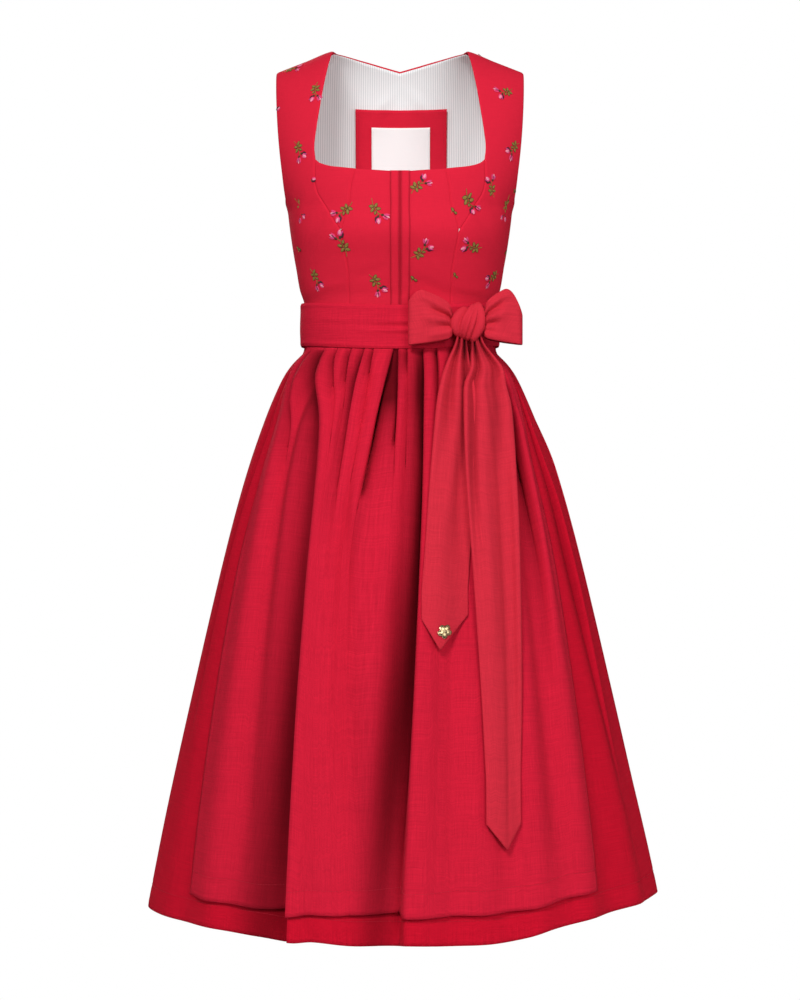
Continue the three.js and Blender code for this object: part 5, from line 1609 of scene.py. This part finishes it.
# A sprig's parts, in millimetres along and across its stem. Leaves and petals: middle,
# length, width, turn in degrees, colour, and how high it lies.
LEAF, LEAF_DARK, BUD, BUD_PALE, WINE, VIOLET = range(6)
SPRIG_PATCHES = (
    (-11.4, 2.6, 6.0, 4.0, 128, LEAF_DARK, 0), (-11.4, 2.7, 5.2, 2.9, 128, LEAF, 1),
    (-9.4, -2.8, 6.0, 3.8, -112, LEAF_DARK, 0), (-9.4, -2.9, 5.2, 2.7, -112, LEAF, 1),
    (-7.2, 3.5, 6.6, 4.2, 66, LEAF_DARK, 0), (-7.1, 3.7, 5.8, 3.0, 66, LEAF, 1),
    (-4.6, -3.1, 6.2, 4.0, -56, LEAF_DARK, 0), (-4.5, -3.2, 5.4, 2.8, -56, LEAF, 1),
    (-2.6, 2.3, 5.0, 3.2, 40, LEAF_DARK, 0), (-2.5, 2.4, 4.2, 2.1, 40, LEAF, 1),
    (4.6, 4.4, 7.0, 5.6, 58, WINE, 0), (7.0, 3.6, 7.4, 5.2, 30, BUD, 1),
    (7.6, 4.2, 5.6, 2.8, 36, BUD_PALE, 2),
    (6.0, 6.0, 5.2, 1.6, 60, VIOLET, 2), (2.8, 1.8, 3.8, 2.6, 36, LEAF_DARK, 1),
    (4.0, -3.4, 4.0, 2.8, -42, LEAF_DARK, 1), (7.8, -4.0, 7.4, 3.0, -16, BUD, 1),
    (7.6, -5.8, 7.4, 2.8, -36, BUD_PALE, 1), (5.9, -7.0, 6.8, 2.6, -58, BUD, 1),
    (6.9, -4.8, 5.4, 1.1, -26, WINE, 2), (6.4, -6.4, 4.8, 1.1, -48, VIOLET, 2))
BUD_PATCHES = (
    (-1.4, 0.9, 7.6, 5.2, 38, WINE, 0), (0.8, -0.2, 7.2, 4.6, 26, BUD, 1),
    (0.9, 0.8, 5.4, 2.4, 34, BUD_PALE, 2))
LEAF_PATCHES = (
    (0, 0, 7.0, 4.2, 62, LEAF_DARK, 0), (0, 0.2, 5.8, 2.4, 62, LEAF, 1),
    (-1.6, -5.4, 6.0, 3.8, 88, LEAF_DARK, 0), (-1.6, -5.2, 5.0, 2.2, 88, LEAF, 1))
SPRIG_STEMS = (
    ((-17, -2.2), (-13, -0.6), (-8, 0.3), (-3, 0), (0, 0.2), (3.4, 1.6)), ((-1.5, 0), (1, -1.2), (4.4, -3.6)))

# Sprigs on the front: distance from the middle, height, turn in degrees from rightwards,
# size, and kind (0 whole, 1 a bud, 2 leaves).
FRONT_SPRIGS = table(
    "x z turn size kind",
    (-131, -26, 14, 0.95, 0), (-103, -66, -80, 1.05, 0), (-149, -80, 0, 0.9, 1), (-121, -139, -62, 1.05, 0),
    (-104, -173, 30, 0.9, 1), (-71, -216, 215, 1.1, 0), (-120, -211, -70, 1.0, 0), (-72, -248, 112, 1.2, 0),
    (-125, -251, 80, 1.0, 2), (-101, -293, -72, 1.05, 0), (-26, -218, -58, 1.1, 0), (-26, -302, -60, 1.1, 0),
    (26, -181, 38, 1.05, 0), (29, -259, 44, 1.1, 0), (15, -292, 70, 0.9, 2), (63, -212, 60, 0.9, 2),
    (86, -206, -50, 1.1, 0), (110, -178, 110, 1.0, 0), (126, -62, 198, 1.05, 0), (136, -134, 222, 1.05, 0),
    (84, -254, 172, 1.1, 0), (66, -287, 60, 0.8, 2), (111, -289, 212, 1.05, 0), (127, -209, -100, 1.0, 0),
    (140, -180, 90, 0.8, 2), (131, -253, 95, 0.9, 2), (98, -6, 160, 0.8, 1))
BACK_SPRIG_ROWS = (-300, -256, -212, -168, -122, -76, -32)
BACK_SPRIG_SPACING = 46


def surface_patch(place, back, spots, lift):
    """Points over the bodice near a chart place, for flat spots in millimetres."""
    angle, level = place
    a, b = np.array([angle]), np.array([float(level)])
    origin = bodice_point(a, b, back)[0]
    step = 0.02 if angle < 0 else -0.02
    rise = -3.0 if level > SHOULDER - 6 else 3.0
    d_angle = (bodice_point(a + step, b, back)[0] - origin) / step
    d_level = (bodice_point(a, b + rise, back)[0] - origin) / rise
    normal = bodice_normal(a, b, back)[0]
    right = unit(np.cross(np.array([0, 0, 1.0]), normal))
    up = np.cross(normal, right)
    wanted = spots[:, :1] * right + spots[:, 1:2] * up
    frame_axes = np.stack([d_angle, d_level], 1)
    moves = np.linalg.lstsq(frame_axes, wanted.T, rcond=None)[0].T
    limit = np.radians(91)
    angles = np.clip(angle + moves[:, 0], -limit, limit)
    levels = np.minimum(level + moves[:, 1], SHOULDER - 0.5)
    point = bodice_point(angles, levels, back)
    return point + bodice_normal(angles, levels, back) * lift[:, None]


def lens(middle_u, middle_v, length, width, turn):
    """Flat spots, lifts and own coordinates of a leaf-shaped patch of satin stitch."""
    t, w = np.meshgrid(np.linspace(-1, 1, 8), np.linspace(-1, 1, 5), indexing="ij")
    outline = np.clip(1 - t**2, 0, 1) ** 0.6 * (1 - 0.25 * t)
    u, v = t * length / 2, w * outline * width / 2
    lift = 0.12 + 0.4 * np.sqrt(np.clip(1 - (w * 0.98) ** 2, 0, 1)) * np.clip(outline * 1.6, 0, 1)
    c, s = math.cos(math.radians(turn)), math.sin(math.radians(turn))
    spots = np.stack([middle_u + u * c - v * s, middle_v + u * s + v * c], -1)
    return spots.reshape(-1, 2), lift.ravel(), np.stack([v, u], -1).reshape(-1, 2)


def sprig_parts(kind):
    patches = (SPRIG_PATCHES, BUD_PATCHES, LEAF_PATCHES)[kind]
    for middle_u, middle_v, length, width, turn, colour, layer in patches:
        spots, lift, own = lens(middle_u, middle_v, length, width, turn)
        yield spots, lift + layer * 0.3, own, grid_faces(8, 5), colour
    stems = SPRIG_STEMS if kind == 0 else (((-5, -1), (-2, 0), (0, 0.4)),)
    for stem in stems:
        line = spline(np.array(stem, float), np.linspace(0, len(stem) - 1, 12))
        side = unit(np.gradient(line, axis=0))[:, ::-1] * np.array([-1, 1])
        w = np.linspace(-1, 1, 4)
        spots = line[:, None] + side[:, None] * (w * 0.34)[None, :, None]
        lift = np.broadcast_to(0.1 + 0.45 * np.sqrt(np.clip(1 - (w * 0.97) ** 2, 0, 1)), (12, 4))
        own = np.stack(np.meshgrid(np.arange(12) * 0.3, w * 0.5, indexing="ij")[::-1], -1)
        yield spots.reshape(-1, 2), lift.ravel(), own.reshape(-1, 2), grid_faces(12, 4), LEAF


def embroider(name, sprigs, back):
    """One mesh of many sprigs. A sprig is its chart place, turn, size and kind."""
    points, faces, kinds, uvs, start = [], [], [], [], 0
    for k, (place, turn, size, kind) in enumerate(sprigs):
        c, s = math.cos(math.radians(turn)) * size, math.sin(math.radians(turn)) * size
        flip = np.array([1, -1 if k % 3 == 1 else 1])
        for spots, lift, own, grid, colour in sprig_parts(kind):
            spots = spots * flip
            turned = np.stack([spots[:, 0] * c - spots[:, 1] * s, spots[:, 0] * s + spots[:, 1] * c], -1)
            where = surface_patch(place, back, turned, lift + 0.15)
            points.append(where)
            faces += (grid + start).tolist()
            kinds += [colour] * len(grid)
            uvs.append(own)
            start += len(where)
    tones = bpy.context.scene.dirndl_colours
    materials = [floss("Leaf floss", tuple(tones.leaf)), floss("Dark leaf floss", tuple(tones.leaf_dark)),
                 floss("Bud floss", tuple(tones.bud)), floss("Pale bud floss", tuple(tones.bud_pale)),
                 floss("Wine floss", tuple(tones.wine)), floss("Violet floss", tuple(tones.violet))]
    piece = mesh_piece(name, np.concatenate(points), faces, materials, kinds, np.concatenate(uvs))
    settle(piece)


class DIRNDL_OT_embroidery(bpy.types.Operator):
    """Scatters satin-stitched sprigs of buds and leaves over the bodice"""
    bl_idname = "dirndl.embroidery"
    bl_label = "Embroidery"

    def execute(self, context):
        scale = sizes().sprig_size
        front = [(chart(x, z, False), turn, size * scale, int(kind)) for x, z, turn, size, kind
                 in zip(*(FRONT_SPRIGS[k] for k in ("x", "z", "turn", "size", "kind")))]
        embroider("front_sprigs", front, False)
        back, k = [], 0
        for row, z in enumerate(BACK_SPRIG_ROWS):
            half = 128 if z < ARMPIT else 112
            x = -half + 12 + (row % 2) * BACK_SPRIG_SPACING / 2
            while x < half - 8:
                k += 1
                place = chart(x + 7 * uneven(k), z + 8 * uneven(k + 5), True)
                back.append((place, 360 * abs(uneven(k * 1.7)), 1.05 * scale, 0))
                x += BACK_SPRIG_SPACING * (1 + 0.12 * uneven(k + 3))
        embroider("back_sprigs", back, True)
        return {"FINISHED"}


# ------------------------------------------------------------------ stage

CAMERA = {"x": 0, "y": -2.8, "z": -0.56}
SENSOR = 36
FRAME_HALF = 0.625           # half the height, in metres, of what the camera sees at y 0
FLOOR_Z, FLOOR_RADIUS = -1.42, 1.0


def add_area(name, place, target, size, energy, colour=(1, 1, 1)):
    light = bpy.data.lights.new(name, "AREA")
    light.shape, light.size, light.energy, light.color = "DISK", size, energy, colour
    obj = bpy.data.objects.new(name, light)
    obj.location = place
    obj.rotation_euler = (Vector(target) - Vector(place)).to_track_quat("-Z", "Y").to_euler()
    bpy.context.scene.collection.objects.link(obj)
    return obj


class DIRNDL_OT_stage(bpy.types.Operator):
    """Sets up the pale floor, the soft lights, the white surroundings and the camera"""
    bl_idname = "dirndl.stage"
    bl_label = "Stage, Lights and Camera"

    def execute(self, context):
        scene = context.scene
        scene.view_settings.view_transform = "Standard"
        turn = 2 * np.pi * np.arange(96) / 96
        rim = np.stack([np.sin(turn), np.cos(turn), 0 * turn], -1) * FLOOR_RADIUS / METRE
        rim[:, 2] = FLOOR_Z / METRE
        pale = bpy.data.materials.new("Pale floor")
        pale.use_nodes = True
        s = Wiring(pale.node_tree)
        shader = pale.node_tree.nodes["Principled BSDF"]
        shader.inputs["Roughness"].default_value = 0.7
        grain = s.noise(s.put("ShaderNodeTexCoord").outputs["Object"], 6.0, 3.0)
        s.feed(shader.inputs["Base Color"], s.blend(grain, (0.86, 0.86, 0.86, 1), (0.9, 0.9, 0.9, 1)))
        floor = mesh_piece("floor", rim, [list(range(96))[::-1]], [pale], flat=(0,))

        world = bpy.data.worlds.new("White room")
        scene.world = world
        world.use_nodes = True
        s = Wiring(world.node_tree)
        seen = world.node_tree.nodes["Background"]
        seen.inputs["Color"].default_value = (1, 1, 1, 1)
        seen.inputs["Strength"].default_value = 1.0
        lit = s.put("ShaderNodeBackground")
        lit.inputs["Color"].default_value = (1, 1, 1, 1)
        lit.inputs["Strength"].default_value = 0.1
        chosen = s.put("ShaderNodeMixShader")
        s.feed(chosen.inputs[0], s.put("ShaderNodeLightPath").outputs["Is Camera Ray"])
        s.feed(chosen.inputs[1], lit.outputs[0])
        s.feed(chosen.inputs[2], seen.outputs[0])
        s.feed(world.node_tree.nodes["World Output"].inputs["Surface"], chosen.outputs[0])

        middle = (0, 0, -0.5)
        add_area("key_light", (-0.6, -2.6, 1.2), middle, 0.9, 69)
        add_area("front_fill", (1.0, -2.8, 0.2), middle, 1.4, 34)
        add_area("back_light", (-0.6, 2.6, 0.9), middle, 1.6, 55)
        add_area("right_light", (2.4, -1.0, -0.1), middle, 1.4, 15)
        add_area("left_light", (-2.4, -1.0, -0.3), middle, 1.4, 10)

        camera = bpy.data.objects.new("camera", bpy.data.cameras.new("camera"))
        camera.location = (CAMERA["x"], CAMERA["y"], CAMERA["z"])
        camera.rotation_euler = (math.pi / 2, 0, 0)
        camera.data.sensor_width = SENSOR
        camera.data.lens = SENSOR / 2 / (FRAME_HALF / -CAMERA["y"])
        camera.data.clip_end = 50
        scene.collection.objects.link(camera)
        scene.camera = camera
        return {"FINISHED"}


# ------------------------------------------------------------------ settings and panel

def colour_setting(name, description, default):
    return FloatVectorProperty(name=name, description=description, default=default,
                               subtype="COLOR", size=3, min=0, max=1)


class DirndlColours(bpy.types.PropertyGroup):
    bodice: colour_setting("Bodice", "Dye of the bodice", (0.61, 0.013, 0.037))
    skirt: colour_setting("Skirt", "Dye of the skirt linen", (0.52, 0.003, 0.020))
    apron: colour_setting("Apron", "Dye of the apron and the sash", (0.565, 0.0095, 0.033))
    ribbon: colour_setting("Bow", "Dye of the bow and its tails", (0.56, 0.021, 0.041))
    thread: colour_setting("Sewing Thread", "Thread of hems and topstitching", (0.50, 0.009, 0.030))
    lining: colour_setting("Lining", "Ground of the striped lining", (0.94, 0.96, 0.96))
    stripe: colour_setting("Stripe", "Stripes of the lining", (0.66, 0.69, 0.70))
    label: colour_setting("Label", "The bare neck label", (0.82, 0.80, 0.80))
    leaf: colour_setting("Leaf", "Leaves and stems of the embroidery", (0.25, 0.165, 0.026))
    leaf_dark: colour_setting("Dark Leaf", "Shaded rims of the leaves", (0.055, 0.024, 0.007))
    bud: colour_setting("Bud", "Buds of the embroidery", (0.74, 0.040, 0.16))
    bud_pale: colour_setting("Pale Bud", "Pale petals of the embroidery", (0.90, 0.27, 0.37))
    wine: colour_setting("Wine", "Dark cups under the buds", (0.06, 0.003, 0.014))
    violet: colour_setting("Violet", "Violet petals of the embroidery", (0.60, 0.045, 0.21))
    gilt: colour_setting("Gilt", "Metal of the pendant", (0.80, 0.62, 0.34))


class DirndlSizes(bpy.types.PropertyGroup):
    linen_thread: FloatProperty(
        name="Linen Thread", description="Spacing of the linen's threads",
        default=0.0008, min=0.0002, max=0.003, subtype="DISTANCE", unit="LENGTH")
    bodice_thread: FloatProperty(
        name="Bodice Thread", description="Spacing of the bodice cotton's threads",
        default=0.0005, min=0.0002, max=0.003, subtype="DISTANCE", unit="LENGTH")
    stripe_pitch: FloatProperty(
        name="Stripe Pitch", description="Millimetres from one lining stripe to the next",
        default=2.3, min=0.5, max=20)
    hem_depth: FloatProperty(
        name="Hem Depth", description="Millimetres from a hem's edge to its stitches",
        default=27, min=5, max=80)
    crease_depth: FloatProperty(
        name="Crease Depth", description="Strength of the skirt's soft creases",
        default=1, min=0, max=3, subtype="FACTOR")
    sprig_size: FloatProperty(
        name="Sprig Size", description="Size of the embroidered sprigs",
        default=1, min=0.3, max=2, subtype="FACTOR")


BUILD_ORDER = ("bodice_front", "bodice_back", "lining", "skirt", "apron", "sash", "bow", "tails",
               "embroidery", "stage")


class DIRNDL_PT_panel(bpy.types.Panel):
    """Lists the garment's settings and its build steps"""
    bl_idname = "DIRNDL_PT_panel"
    bl_label = "Dirndl"
    bl_space_type = "VIEW_3D"
    bl_region_type = "UI"
    bl_category = "Dirndl"

    def draw(self, context):
        layout = self.layout
        for group in (context.scene.dirndl_sizes, context.scene.dirndl_colours):
            box = layout.box()
            for name in group.__annotations__:
                box.prop(group, name)
        for step in BUILD_ORDER:
            layout.operator(f"dirndl.{step}")


CLASSES = (DirndlColours, DirndlSizes, DIRNDL_OT_bodice_front, DIRNDL_OT_bodice_back, DIRNDL_OT_lining,
           DIRNDL_OT_skirt, DIRNDL_OT_apron, DIRNDL_OT_sash, DIRNDL_OT_bow, DIRNDL_OT_tails,
           DIRNDL_OT_embroidery, DIRNDL_OT_stage, DIRNDL_PT_panel)


def register():
    for cls in CLASSES:
        bpy.utils.register_class(cls)
    bpy.types.Scene.dirndl_colours = PointerProperty(type=DirndlColours)
    bpy.types.Scene.dirndl_sizes = PointerProperty(type=DirndlSizes)


def unregister():
    del bpy.types.Scene.dirndl_sizes
    del bpy.types.Scene.dirndl_colours
    for cls in reversed(CLASSES):
        bpy.utils.unregister_class(cls)


def main():
    register()
    for step in BUILD_ORDER:
        getattr(bpy.ops.dirndl, step)()


if __name__ == "__main__":
    main()
